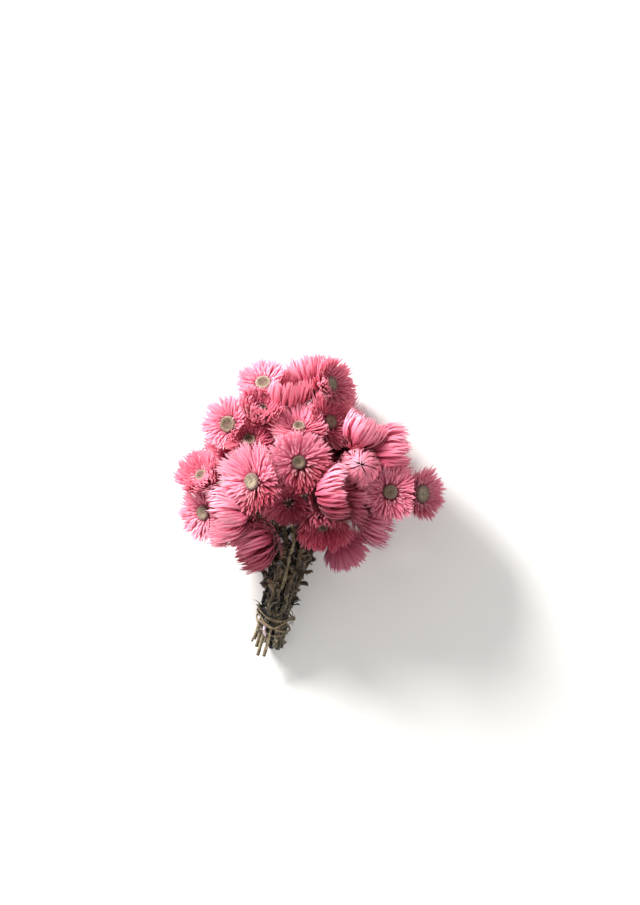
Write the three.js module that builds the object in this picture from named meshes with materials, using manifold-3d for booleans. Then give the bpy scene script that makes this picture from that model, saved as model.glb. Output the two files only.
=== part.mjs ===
// A bunch of dried cape flowers: papery pink everlasting heads on woolly, leafy stems, tied near the cut
// ends and laid down on a table. Millimetres, +Z up from the table, +Y towards the blooms, +X to the right.
import * as THREE from "three";
import { mergeVertices } from "three/addons/utils/BufferGeometryUtils.js";
import Module from "manifold-3d";

const wasm = await Module();
wasm.setup();

const UP = new THREE.Vector3(0, 0, 1);
const TABLE = 0; // height of the surface that the bunch lies on

// Gaps
const SEAT_GAP = 0.3; // between two pieces that touch
const BRACT_GAP = 0.5; // between the bracts of two crowded heads
const STEM_GAP = 0.6; // between bracts and a stem that passes them
const LEAF_GAP = 0.25; // round a leaf

// Joining leaves and twigs to their stem
const JOIN_TOLERANCE = 0.1;
const TIDY_GRID = 0.004;
const TIDY_ROUNDS = 3;
const WELD = 1e-3; // corners nearer than this are one
const WELD_PLACES = 3; // the same in decimal places

// Stems and leaves
const SHOOT_RADIUS = 2.8;
const TWIG_RADIUS = 1.5;
const PEDUNCLE = 14; // the last, straight stretch of a stem below its head
const PEDUNCLE_NECK = 3; // and the stretch of it that is square to the head
const FACING_DOWN = -0.3; // a head with its axis lower than this has its stem come from above
const PEDUNCLE_RISE = 1; // how far an upper head's stem leans upright where it leaves the head
const CUT_END_SHARE = 0.4; // of its place in the bundle that a shoot has reached at the cut end
const TUBE_SIDES = 5;
const TUBE_STEP = 31; // between a tube's rings, about
const TWIG_LEAF_AT = 9; // of a twig's first leaf, from its fork
const LEAF_LENGTH = 21;
const LEAF_LENGTH_SPREAD = 0.2; // of its length, either way
const LEAF_WIDTH = 6.4;
const LEAF_THICKNESS = 1;
const LEAF_SPACING = 48;
const LEAF_SPREAD = 0.5; // sideways share of a leaf's way off its stem
const LEAF_TIP_LIFT = 1.1; // how far that way goes at the tip
const LEAF_STATIONS = [
  { along: 0, off: 0, width: 0.3 },
  { along: 0.55, off: 0.42, width: 1 },
]; // its outline before the tip: shares of its length, of that way and of its width
const LEAVES_FROM = 48; // above the cut ends, so that the tied stretch is nearly bare
const LEAF_TURNS = [0, 0.8, -0.8, 1.6, -1.6, 2.4, -2.4]; // tried round the stem for a free place, radians
const GOLDEN_ANGLE = Math.PI * (3 - Math.sqrt(5)); // from one leaf to the next
const LEAF_SEED = 40;

// Discs and the tie
const DISC_SIDES = 8;
const DISC_HEIGHT = 2.6;
const DISC_MARGIN = 0.5; // round its edge, inside the seat
const DISC_RIM = 0.55; // share of the disc's height at its edge
const DISC_CROWN = [0.6, 1]; // where it is highest, in shares of its radius and height
const DISC_DIMPLE = 0.75; // share of its height in the middle
const STRAND_RADIUS = 0.95;
const KNOT_RADIUS = 2.8;
const KNOT_SUNK = 0.3; // share of the knot's radius at which it leaves the strands
const TIE_SLACK = 0.6; // between the strands and the stems
const TIE_SAG = 9; // of the first wrap, in front
const TIE_STEP = 6.5; // from the first wrap to the second
const TIE_SLANT = 4; // of the second wrap, either way
const TIE_POINTS = 18; // that each wrap's curve goes through
const TIE_RINGS = 20; // along each wrap
const TIE_SHARPNESS = 3; // the power of the sine that draws the sag to a point

// The bundle's centre line from the cut ends past the tie and the neck to where the stems part, with the
// distance there between one stem and the next
const BUNDLE = [
  { at: new THREE.Vector3(-43, -150, 12.4), spacing: 6.4 },
  { at: new THREE.Vector3(-37, -114, 22), spacing: 6.4 },
  { at: new THREE.Vector3(-28, -78, 34), spacing: 8 },
  { at: new THREE.Vector3(-19, -46, 46), spacing: 11 },
];
const TIE = BUNDLE[1];
const ROW_HEIGHT = Math.sqrt(3) / 2; // of stems packed like honeycomb

// How a head stands: where its disc is, the way it faces (turn in the table's plane from +X, tilt from
// straight up), its radius and how far it has opened (0 shut, 0.5 cupped, 1 spread)
const HEADS = {
  "01": { at: [-47, 124, 80], turn: 100, tilt: 34, radius: 30, open: 0.95, disc: true },
  "02": { at: [1, 129, 54], turn: 99, tilt: 100, radius: 28, open: 0.55 },
  "03": { at: [21, 123, 86], turn: 18, tilt: 53, radius: 30, open: 0.85, disc: true },
  "04": { at: [-82, 83, 84], turn: 167, tilt: 28, radius: 32, open: 1, disc: true },
  "05": { at: [-48, 98, 92], turn: 75, tilt: 42, radius: 27, open: 0.65, disc: true },
  "06": { at: [-11, 80, 104], turn: 90, tilt: 42, radius: 34, open: 0.88, disc: true },
  "07": { at: [-11, 45, 127], turn: -27, tilt: 6, radius: 39, open: 0.97, disc: true },
  "08": { at: [-57, 26, 121], turn: 180, tilt: 34, radius: 43, open: 1, disc: true },
  "09": { at: [-109, 31, 80], turn: 129, tilt: 42, radius: 27, open: 0.7, disc: true },
  "10": { at: [-107, -6, 72], turn: 185, tilt: 37, radius: 31, open: 0.95, disc: true },
  "11": { at: [-77, -8, 96], turn: 183, tilt: 73, radius: 34, open: 0.45 },
  "12": { at: [-53, -36, 83], turn: 203, tilt: 80, radius: 31, open: 0.3 },
  "13": { at: [-61, 67, 86], turn: 90, tilt: 30, radius: 30, open: 0.8, disc: true },
  "14": { at: [19, 14, 114], turn: 6, tilt: 69, radius: 32, open: 0.5 },
  "15": { at: [13, -19, 92], turn: -85, tilt: 42, radius: 29, open: 0.7, disc: true },
  "16": { at: [-21, 5, 84], turn: -100, tilt: 20, radius: 32, open: 0.85, disc: true },
  "17": { at: [50, 40, 107], turn: 78, tilt: 20, radius: 25, open: 0.12 },
  "18": { at: [49, 70, 92], turn: 60, tilt: 86, radius: 26, open: 0.45 },
  "19": { at: [70, 54, 76], turn: -4, tilt: 90, radius: 33, open: 0.5 },
  "20": { at: [80, 15, 96], turn: 18, tilt: 12, radius: 32, open: 0.95, disc: true },
  "21": { at: [112, 13, 78], turn: 0, tilt: 45, radius: 29, open: 0.92, disc: true },
  "22": { at: [58, -11, 71], turn: -14, tilt: 84, radius: 27, open: 0.5 },
  "23": { at: [33, -40, 50], turn: -59, tilt: 132, radius: 28, open: 0.8 },
  "24": { at: [20, 85, 84], turn: 27, tilt: 42, radius: 33, open: 0.85, disc: true },
  "25": { at: [45, 7, 84], turn: -7, tilt: 65, radius: 28, open: 0.6 },
  "26": { at: [29, 57, 78], turn: -20, tilt: 22, radius: 26, open: 0.85 },
  "27": { at: [-24, 108, 76], turn: 85, tilt: 72, radius: 28, open: 0.5 },
  "28": { at: [-84, 51, 66], turn: 143, tilt: 40, radius: 30, open: 0.8 },
  "29": { at: [-84, 48, 23], turn: 165, tilt: 102, radius: 30, open: 0.6, under: true },
  "30": { at: [-42, 106, 24], turn: 110, tilt: 102, radius: 30, open: 0.6, under: true },
  "31": { at: [20, 104, 24], turn: 75, tilt: 102, radius: 30, open: 0.6, under: true },
  "32": { at: [78, 40, 24], turn: 15, tilt: 102, radius: 30, open: 0.6, under: true },
  "33": { at: [-66, -12, 22], turn: 205, tilt: 104, radius: 30, open: 0.5, under: true },
  "34": { at: [6, 28, 17], turn: 60, tilt: 155, radius: 30, open: 0.85, under: true },
  "35": { at: [-36, 62, 17], turn: 110, tilt: 150, radius: 29, open: 0.85, under: true },
};

// Each stem forks near its cut end into shoots, and each shoot parts at its fork into twigs, one a head.
// A slot is the shoot's place in the bundle: [places to the right of the centre, rows above it].
const STEMS = {
  stem_top: [
    { slot: [0, 2], fork: [-16, 4, 61], heads: ["07", "16"] },
    { slot: [1, 2], fork: [2, -14, 62], heads: ["15", "14"] },
  ],
  stem_upper_left: [
    { slot: [-1, 2], fork: [-42, 14, 66], heads: ["08", "13"] },
    { slot: [-1.5, 1], fork: [-34, -30, 58], heads: ["11", "12"] },
  ],
  stem_left: [
    { slot: [-2, 0], fork: [-72, -2, 46], heads: ["10", "09"] },
    { slot: [-1, 0], fork: [-62, 24, 48], heads: ["04", "28"] },
  ],
  stem_back: [
    { slot: [0.5, 1], fork: [-11, 40, 52], heads: ["06", "27"] },
    { slot: [-0.5, 1], fork: [-38, 52, 56], heads: ["01", "05"] },
  ],
  stem_right: [
    { slot: [1.5, 1], fork: [40, 10, 58], heads: ["20", "17"] },
    { slot: [2, 0], fork: [34, -4, 54], heads: ["21", "25"] },
  ],
  stem_low_right: [
    { slot: [1, -2], fork: [22, -30, 54], heads: ["22", "23"] },
    { slot: [1.5, -1], fork: [44, 18, 44], heads: ["19"] },
  ],
  stem_back_right: [
    { slot: [0, 0], fork: [2, 60, 50], heads: ["03", "24", "02"] },
    { slot: [1, 0], fork: [24, 34, 52], heads: ["18", "26"] },
  ],
  stem_under_left: [
    { slot: [-1.5, -1], fork: [-48, 0, 30], heads: ["29", "33"] },
    { slot: [-0.5, -1], fork: [-36, 44, 32], heads: ["30", "35"] },
  ],
  stem_under_right: [
    { slot: [0.5, -1], fork: [2, 44, 34], heads: ["31", "34"] },
    { slot: [0, -2], fork: [36, 8, 30], heads: ["32"] },
  ],
};

// By how much a stem's facets are turned round it, in radians. Some programs tell a solid's inside from its
// outside by one face, and take these stems for hollows unless their facets are turned.
const FACET_TURN = 0.05;
const FACET_TURNS = {
  stem_back: 0.3,
  stem_back_right: 0.7,
  stem_low_right: 0.8,
  stem_right: 0.44,
  stem_under_left: 0.5,
};

// The skin of a head: rings of points from its foot, out and back over three whorls of pointed bracts, to
// the seat of its disc, as [distance from the axis, height] in shares of the head's radius
const SHUT = {
  foot: [0.12, 0], belly: [0.84, 0.5], tip1: [0.78, 1.36], notch1: [0.98, 0.86], valley1: [0.74, 0.8],
  tip2: [0.42, 1.58], notch2: [0.7, 1.16], valley2: [0.5, 0.92], tip3: [0.12, 1.5], notch3: [0.36, 1.2],
  seat: [0.2, 0.9],
};
const CUPPED = {
  foot: [0.12, 0], belly: [0.84, 0.42], tip1: [1.0, 1.16], notch1: [0.98, 0.72], valley1: [0.7, 0.56],
  tip2: [0.76, 1.34], notch2: [0.74, 0.84], valley2: [0.5, 0.54], tip3: [0.42, 1.08], notch3: [0.48, 0.76],
  seat: [0.3, 0.46],
};
const SPREAD = {
  foot: [0.12, 0], belly: [0.42, 0.15], tip1: [1.0, 0.4], notch1: [0.58, 0.27], valley1: [0.34, 0.26],
  tip2: [0.88, 0.66], notch2: [0.46, 0.42], valley2: [0.27, 0.33], tip3: [0.5, 0.72], notch3: [0.34, 0.52],
  seat: [0.225, 0.36],
};
const HALF_OPEN = 0.5; // at which a head is cupped
const BRACTS_IN_A_WHORL = 11;
const BRACTS_IN_A_SMALL_WHORL = 9; // of the small heads and those that the bunch lies on
const SMALL_HEAD = 31; // radius up to which a head has the fewer bracts
const BRACT_LENGTH_SPREAD = 0.09; // of a bract's length, either way
const BRACT_TURN_SPREAD = 0.15; // of its place round the head, either way
const CROWDED_FROM = 0.88; // share of the way to a neighbour from which bracts are pressed back
const HEAD_NEIGHBOUR = 1.35; // heads within this many times their joint reach press on each other
const STEM_NEIGHBOUR = 1.7; // and stems within this many times a head's radius press on it
const STEM_SAMPLE = 3; // along a stem, where it is looked at as a neighbour
const HEART_DEPTH = 0.06; // of the point that bracts are pressed towards, below the seat

// Repeatable random numbers, from the well-known remainders of a product
const RANDOM_FACTOR = 48271;
const RANDOM_MODULUS = 2147483647;
const SEED_FACTOR = 7919;
const SEED_SHIFT = 17;

// Colours and finish
const papery = new THREE.MeshStandardMaterial({ color: 0xf07a9d, roughness: 0.55, metalness: 0 });
const button = new THREE.MeshStandardMaterial({ color: 0x9a8a74, roughness: 0.95, metalness: 0 });
const woolly = new THREE.MeshStandardMaterial({ color: 0x6f6350, roughness: 1, metalness: 0 });
const straw = new THREE.MeshStandardMaterial({ color: 0x9c8b6c, roughness: 0.9, metalness: 0 });

function vector(values) {
  return new THREE.Vector3(...values);
}

// A repeatable run of numbers between 0 and 1
function randomFrom(seed) {
  let state = seed * SEED_FACTOR + SEED_SHIFT;
  return () => {
    state = (state * RANDOM_FACTOR) % RANDOM_MODULUS;
    return state / RANDOM_MODULUS;
  };
}

function geometryOf(points, triangles) {
  const geometry = new THREE.BufferGeometry();
  const flat = points.flatMap((point) => point.toArray());
  geometry.setAttribute("position", new THREE.Float32BufferAttribute(flat, 3));
  geometry.setIndex(triangles);
  return geometry;
}

function solidOf(geometry) {
  const bare = geometry.clone();
  bare.deleteAttribute("normal");
  bare.deleteAttribute("uv");
  const merged = mergeVertices(bare, WELD);
  const vertProperties = new Float32Array(merged.attributes.position.array);
  const triVerts = new Uint32Array(merged.index.array);
  return new wasm.Manifold(new wasm.Mesh({ numProp: 3, vertProperties, triVerts }));
}

function geometryFrom(solid) {
  const mesh = solid.getMesh();
  const geometry = new THREE.BufferGeometry();
  geometry.setAttribute("position", new THREE.BufferAttribute(mesh.vertProperties, 3));
  geometry.setIndex(new THREE.BufferAttribute(mesh.triVerts, 1));
  return geometry;
}

// Joins rings of as many points each into a closed skin, with a flat or pointed end at each pole. Where
// turned() says so, the diagonal of a quad runs the other way.
function loft(rings, firstPole, lastPole, turned = () => false) {
  const around = rings[0].length;
  const points = [...rings.flat(), firstPole, lastPole];
  const first = points.length - 2;
  const last = points.length - 1;
  const at = (level, step) => level * around + (step % around);
  const triangles = [];
  for (let step = 0; step < around; step++) {
    triangles.push(first, at(0, step + 1), at(0, step));
    triangles.push(last, at(rings.length - 1, step), at(rings.length - 1, step + 1));
    for (let level = 0; level < rings.length - 1; level++) {
      const [a, b] = [at(level, step), at(level, step + 1)];
      const [c, d] = [at(level + 1, step), at(level + 1, step + 1)];
      if (turned(level, step)) triangles.push(a, b, c, b, d, c);
      else triangles.push(a, d, c, a, b, d);
    }
  }
  return geometryOf(points, triangles);
}

// Where a tube along a curve has its rings: at each of the curve's own points, so that a twig can start
// from a ring's middle, and between them on the long stretches
function ringPlaces(curve) {
  const stretches = curve.points.length - 1;
  const places = [0];
  for (let stretch = 0; stretch < stretches; stretch++) {
    const length = curve.points[stretch].distanceTo(curve.points[stretch + 1]);
    const steps = Math.max(1, Math.round(length / TUBE_STEP));
    for (let step = 1; step <= steps; step++) places.push((stretch + step / steps) / stretches);
  }
  return places;
}

// A tapering tube along a curve, closed with flat ends and not twisted on its way. Its facets are turned
// round it by an angle.
function tube(curve, startRadius, endRadius, facetTurn) {
  const places = ringPlaces(curve);
  const centres = places.map((place) => curve.getPoint(place));
  const tangents = places.map((place) => curve.getTangent(place));
  const normal = new THREE.Vector3().crossVectors(UP, tangents[0]).normalize();
  const rings = centres.map((centre, index) => {
    if (index > 0) {
      const turn = new THREE.Quaternion().setFromUnitVectors(tangents[index - 1], tangents[index]);
      normal.applyQuaternion(turn);
    }
    const binormal = new THREE.Vector3().crossVectors(tangents[index], normal);
    const radius = THREE.MathUtils.lerp(startRadius, endRadius, places[index]);
    return Array.from({ length: TUBE_SIDES }, (_, side) => {
      const angle = facetTurn + (2 * Math.PI * side) / TUBE_SIDES;
      return centre
        .clone()
        .addScaledVector(normal, radius * Math.cos(angle))
        .addScaledVector(binormal, radius * Math.sin(angle));
    });
  });
  return loft(rings, centres[0], centres.at(-1));
}

function profileOf(open) {
  const isCup = open < HALF_OPEN;
  const [low, high] = isCup ? [SHUT, CUPPED] : [CUPPED, SPREAD];
  const share = isCup ? open / HALF_OPEN : (open - HALF_OPEN) / (1 - HALF_OPEN);
  const blend = (key) => low[key].map((value, axis) => THREE.MathUtils.lerp(value, high[key][axis], share));
  return Object.fromEntries(Object.keys(low).map((key) => [key, blend(key)]));
}

// Works out a head's axis, foot and seat, the middle and half sizes of the space that it fills, and the
// way that its stem comes in
function stand(name, data) {
  const turn = THREE.MathUtils.degToRad(data.turn);
  const tilt = THREE.MathUtils.degToRad(data.tilt);
  const profile = profileOf(data.open);
  const flat = Math.sin(tilt);
  const axis = new THREE.Vector3(flat * Math.cos(turn), flat * Math.sin(turn), Math.cos(tilt));
  const seat = vector(data.at);
  const foot = seat.clone().addScaledVector(axis, -profile.seat[1] * data.radius);
  const shares = Object.values(profile);
  const reach = Math.max(...shares.map((share) => share[0])) * data.radius;
  const half = (Math.max(...shares.map((share) => share[1])) * data.radius) / 2;
  const centre = foot.clone().addScaledVector(axis, half);
  const frame = new THREE.Quaternion().setFromUnitVectors(UP, axis);
  const upright = !data.under && axis.z > FACING_DOWN;
  const stemWay = axis.clone().addScaledVector(UP, upright ? PEDUNCLE_RISE : 0).normalize();
  return { ...data, name, profile, axis, seat, foot, centre, reach, half, frame, stemWay };
}

const heads = Object.entries(HEADS)
  .sort(([one], [other]) => Number(one) - Number(other))
  .map(([name, data]) => stand(name, data));
const headNamed = Object.fromEntries(heads.map((head) => [head.name, head]));

// A place in the bundle at one of its stations
function slotAt(station, [right, above]) {
  const offset = new THREE.Vector3(right, 0, above * ROW_HEIGHT);
  return station.at.clone().addScaledVector(offset, station.spacing);
}

function between(one, other, share) {
  return one.clone().lerp(other, share);
}

function smoothCurve(points) {
  return new THREE.CatmullRomCurve3(points, false, "centripetal");
}

// The last points of a stem, up to just under its head
function peduncle(head) {
  const end = head.foot.clone().addScaledVector(head.axis, -SEAT_GAP);
  const neck = end.clone().addScaledVector(head.axis, -PEDUNCLE_NECK);
  const start = neck.clone().addScaledVector(head.stemWay, PEDUNCLE_NECK - PEDUNCLE);
  return [start, neck, end];
}

// The routes of a stem: its shoots, which part from a common cut end, and their twigs
function routesOf(stemName, shoots) {
  const routes = [];
  const cutSlot = [0, 1].map((axis) => shoots.reduce((sum, shoot) => sum + shoot.slot[axis], 0));
  const cutEnd = slotAt(BUNDLE[0], cutSlot.map((value) => value / shoots.length));
  for (const shoot of shoots) {
    const own = slotAt(BUNDLE[0], shoot.slot);
    const fork = vector(shoot.fork);
    const [main, ...others] = shoot.heads.map((name) => headNamed[name]);
    const stations = BUNDLE.slice(1).map((station) => slotAt(station, shoot.slot));
    const points = [between(cutEnd, own, CUT_END_SHARE), ...stations, fork, ...peduncle(main)];
    routes.push({ stemName, head: main, curve: smoothCurve(points), isShoot: true });
    for (const head of others) {
      const curve = smoothCurve([fork, ...peduncle(head)]);
      routes.push({ stemName, head, curve, isShoot: false });
    }
  }
  return routes;
}

const routes = Object.entries(STEMS).flatMap(([name, shoots]) => routesOf(name, shoots));

// How far the head's space reaches from its middle in a direction
function reachAlong(head, direction) {
  const along = direction.dot(head.axis);
  return Math.sqrt(head.reach ** 2 * (1 - along ** 2) + head.half ** 2 * along ** 2);
}

// The planes that part a crowded head from its neighbours, from the stems that pass it and from the table.
// Each has a normal that points away from the head and its distance along it.
function wallsOf(head, heart) {
  const walls = [];
  for (const other of heads) {
    if (other === head) continue;
    const way = other.centre.clone().sub(head.centre);
    const distance = way.length();
    way.normalize();
    const mine = reachAlong(head, way);
    const theirs = reachAlong(other, way);
    if (distance > (mine + theirs) * HEAD_NEIGHBOUR) continue;
    const share = (distance * mine) / (mine + theirs) - BRACT_GAP / 2;
    walls.push({ normal: way, distance: way.dot(head.centre) + share - way.dot(heart) });
  }
  for (const route of routes) {
    const length = route.curve.getLength();
    const steps = Math.ceil(length / STEM_SAMPLE);
    for (const [index, point] of route.curve.getSpacedPoints(steps).entries()) {
      const way = point.clone().sub(heart);
      const distance = way.length();
      const isOwnEnd = route.head === head && (length * (steps - index)) / steps < PEDUNCLE;
      if (isOwnEnd || distance > STEM_NEIGHBOUR * head.radius) continue;
      const radius = route.isShoot ? SHOOT_RADIUS : TWIG_RADIUS;
      walls.push({ normal: way.normalize(), distance: distance - radius - STEM_GAP });
    }
  }
  return walls;
}

// Draws a point of a head back towards its heart where a wall is in the way
function pressed(point, heart, walls) {
  const way = point.clone().sub(heart);
  const length = way.length();
  way.divideScalar(length);
  let drawn = length;
  for (const wall of walls) {
    const slope = way.dot(wall.normal);
    if (slope <= 0) continue;
    const room = wall.distance / slope;
    const past = (drawn / room - CROWDED_FROM) / (1 - CROWDED_FROM);
    if (past > 0) drawn = room * (CROWDED_FROM + (1 - CROWDED_FROM) * Math.tanh(past));
  }
  if (way.z < 0) drawn = Math.min(drawn, (TABLE - heart.z) / way.z);
  return heart.clone().addScaledVector(way, drawn);
}

function bloomGeometry(head) {
  const random = randomFrom(Number(head.name));
  const p = head.profile;
  const levels = [
    [p.foot, p.foot],
    [p.belly, p.belly],
    [p.tip1, p.notch1],
    [p.valley1, p.valley1],
    [p.notch2, p.tip2],
    [p.valley2, p.valley2],
    [p.tip3, p.notch3],
    [p.seat, p.seat],
  ];
  const tipColumn = { 2: 0, 4: 1, 6: 0 }; // which of two columns holds a level's tips
  const fixed = [0, levels.length - 1];
  const heart = head.seat.clone().addScaledVector(head.axis, -HEART_DEPTH * head.radius);
  const walls = wallsOf(head, heart);
  const isSmall = head.under || head.radius <= SMALL_HEAD;
  const around = 2 * (isSmall ? BRACTS_IN_A_SMALL_WHORL : BRACTS_IN_A_WHORL);
  const rings = levels.map((columns, level) =>
    Array.from({ length: around }, (_, step) => {
      const isTip = tipColumn[level] === step % 2;
      const length = isTip ? 1 + BRACT_LENGTH_SPREAD * (2 * random() - 1) : 1;
      const shift = isTip ? BRACT_TURN_SPREAD * (2 * random() - 1) : 0;
      const angle = (2 * Math.PI * (step + shift)) / around;
      const [distance, height] = columns[step % 2];
      const out = distance * length * head.radius;
      const place = new THREE.Vector3(out * Math.cos(angle), out * Math.sin(angle), height * head.radius);
      place.applyQuaternion(head.frame).add(head.foot);
      return fixed.includes(level) ? place : pressed(place, heart, walls);
    }),
  );
  // A diagonal that ends at a tip gives each bract its ridge, so none may end at the notches beside it
  const turned = (level, step) => {
    const isBelowTips = level % 2 === 1;
    const tips = tipColumn[isBelowTips ? level + 1 : level];
    if (tips === undefined) return false;
    const tipIsLeft = step % 2 === tips;
    return isBelowTips ? !tipIsLeft : tipIsLeft;
  };
  return loft(rings, head.foot, head.seat, turned);
}

// A flat button of florets with a dimple
function discGeometry(head) {
  const radius = head.profile.seat[0] * head.radius - DISC_MARGIN;
  const outline = [[0, 0], [1, 0], [1, DISC_RIM], DISC_CROWN, [0, DISC_DIMPLE]];
  const points = outline.map(([out, up]) => new THREE.Vector2(out * radius, up * DISC_HEIGHT));
  const button = new THREE.LatheGeometry(points, DISC_SIDES);
  button.rotateX(Math.PI / 2);
  button.applyQuaternion(head.frame);
  const place = head.seat.clone().addScaledVector(head.axis, SEAT_GAP);
  button.translate(place.x, place.y, place.z);
  return button;
}

// A strand that runs right round and meets itself
function closedTube(curve) {
  const steps = TIE_RINGS;
  const sides = TUBE_SIDES;
  const frames = curve.computeFrenetFrames(steps, true);
  const points = curve.getSpacedPoints(steps).slice(0, steps).flatMap((centre, index) =>
    Array.from({ length: sides }, (_, side) => {
      const angle = (2 * Math.PI * side) / sides;
      return centre
        .clone()
        .addScaledVector(frames.normals[index], STRAND_RADIUS * Math.cos(angle))
        .addScaledVector(frames.binormals[index], STRAND_RADIUS * Math.sin(angle));
    }),
  );
  const at = (step, side) => (step % steps) * sides + (side % sides);
  const triangles = [];
  for (let step = 0; step < steps; step++) {
    for (let side = 0; side < sides; side++) {
      const [a, b] = [at(step, side), at(step, side + 1)];
      const [c, d] = [at(step + 1, side), at(step + 1, side + 1)];
      triangles.push(a, b, d, a, d, c);
    }
  }
  return geometryOf(points, triangles);
}

// One length of grass wrapped twice round the bundle: a wrap that sags to a point in front, a slanting
// wrap, and the knot where they meet
function tieGeometry() {
  const along = BUNDLE[2].at.clone().sub(BUNDLE[0].at).normalize();
  const right = new THREE.Vector3().crossVectors(along, UP).normalize();
  const above = new THREE.Vector3().crossVectors(right, along);
  const across = 2 * TIE.spacing + SHOOT_RADIUS + STRAND_RADIUS + TIE_SLACK;
  const wrap = (shift) => {
    const points = Array.from({ length: TIE_POINTS }, (_, step) => {
      const angle = (2 * Math.PI * step) / TIE_POINTS;
      return TIE.at
        .clone()
        .addScaledVector(right, across * Math.cos(angle))
        .addScaledVector(above, across * Math.sin(angle))
        .addScaledVector(along, shift(angle));
    });
    return new THREE.CatmullRomCurve3(points, true);
  };
  const sagging = wrap((angle) => -TIE_SAG * Math.max(0, Math.sin(angle)) ** TIE_SHARPNESS);
  const slanting = wrap((angle) => -TIE_STEP - TIE_SLANT * Math.cos(angle));
  const knot = new THREE.IcosahedronGeometry(KNOT_RADIUS, 0);
  const side = TIE.at.clone().addScaledVector(right, across + STRAND_RADIUS + KNOT_RADIUS * KNOT_SUNK);
  knot.translate(side.x, side.y, side.z);
  const strands = solidOf(closedTube(sagging)).add(solidOf(closedTube(slanting)));
  return geometryFrom(wholeBody(strands.add(solidOf(knot))));
}

// A pointed, arched leaf blade that starts inside its stem, with a keel below
function leafGeometry(base, alongStem, outward, length) {
  const side = new THREE.Vector3().crossVectors(alongStem, outward).normalize();
  const place = (along, off) =>
    base
      .clone()
      .addScaledVector(alongStem, along * length)
      .addScaledVector(outward, off * length * LEAF_SPREAD);
  const rings = LEAF_STATIONS.map(({ along, off, width }) => {
    const middle = place(along, off);
    const half = (LEAF_WIDTH * width) / 2;
    return [
      middle.clone().addScaledVector(side, -half),
      middle.clone().addScaledVector(outward, -LEAF_THICKNESS),
      middle.clone().addScaledVector(side, half),
    ];
  });
  return loft(rings, place(0, 0), place(1, LEAF_TIP_LIFT));
}

function piece(name, geometry, material) {
  const mesh = new THREE.Mesh(geometry, material);
  mesh.name = name;
  return mesh;
}

// Tells whether a solid would run into any of the pieces, by their boxes first
function runsInto(solid, pieces) {
  const box = solid.boundingBox();
  return pieces.some((other) => {
    const isApart = (axis) => box.min[axis] > other.box.max[axis] || box.max[axis] < other.box.min[axis];
    const apart = [0, 1, 2].some(isApart);
    return !apart && solid.intersect(other.solid).volume() > 0;
  });
}

// Grows leaves in a spiral up a route, where there is room for them
function leavesOn(route, others) {
  const leaves = [];
  const random = randomFrom(routes.indexOf(route) + LEAF_SEED);
  const total = route.curve.getLength();
  let angle = 2 * Math.PI * random();
  for (let way = route.isShoot ? LEAVES_FROM : TWIG_LEAF_AT; way < total - PEDUNCLE; way += LEAF_SPACING) {
    const base = route.curve.getPointAt(way / total);
    const alongStem = route.curve.getTangentAt(way / total);
    const frame = new THREE.Quaternion().setFromUnitVectors(UP, alongStem);
    const length = LEAF_LENGTH * (1 + LEAF_LENGTH_SPREAD * (2 * random() - 1));
    for (const nudge of LEAF_TURNS) {
      const outward = new THREE.Vector3(Math.cos(angle + nudge), Math.sin(angle + nudge), 0);
      outward.applyQuaternion(frame);
      const roomy = solidOf(leafGeometry(base, alongStem, outward, length + 2 * LEAF_GAP));
      if (runsInto(roomy, [...others, ...leaves])) continue;
      const solid = solidOf(leafGeometry(base, alongStem, outward, length));
      leaves.push({ solid, box: solid.boundingBox() });
      break;
    }
    angle += GOLDEN_ANGLE;
  }
  return leaves;
}

// The largest body of a joined solid, with any hollow that joining has sealed filled and any scrap dropped.
// The slivers along its joins are taken out first, on a fine grid that its corners are moved to.
function wholeBody(solid) {
  let tidy = solid;
  for (let round = 0; round < TIDY_ROUNDS; round++) {
    const { vertProperties, triVerts } = tidy.getMesh();
    const snapped = vertProperties.map((value) => Math.round(value / TIDY_GRID) * TIDY_GRID);
    const mesh = new wasm.Mesh({ numProp: 3, vertProperties: snapped, triVerts, tolerance: JOIN_TOLERANCE });
    tidy = new wasm.Manifold(mesh).simplify(JOIN_TOLERANCE);
  }
  return tidy.decompose().reduce((one, other) => (other.volume() > one.volume() ? other : one));
}

// Tells whether more than two faces meet at any edge, once corners at one place count as one
function isPinched(mesh) {
  const corner = (index) => {
    const values = Array.from(mesh.vertProperties.slice(3 * index, 3 * index + 3));
    return values.map((value) => value.toFixed(WELD_PLACES)).join();
  };
  const faces = new Map();
  for (let index = 0; index < mesh.triVerts.length; index += 3) {
    const [a, b, c] = mesh.triVerts.slice(index, index + 3);
    for (const ends of [[a, b], [b, c], [c, a]]) {
      const edge = ends.map(corner).sort().join(" ");
      faces.set(edge, (faces.get(edge) ?? 0) + 1);
    }
  }
  return [...faces.values()].some((count) => count !== 2);
}

const bunch = new THREE.Group();
const placed = [];
function place(name, geometry, material) {
  bunch.add(piece(name, geometry, material));
  const solid = solidOf(geometry);
  placed.push({ name, solid, box: solid.boundingBox() });
}

for (const head of heads) {
  place("bloom_" + head.name, bloomGeometry(head), papery);
  if (head.disc) place("disc_" + head.name, discGeometry(head), button);
}
place("tie", tieGeometry(), straw);

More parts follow.
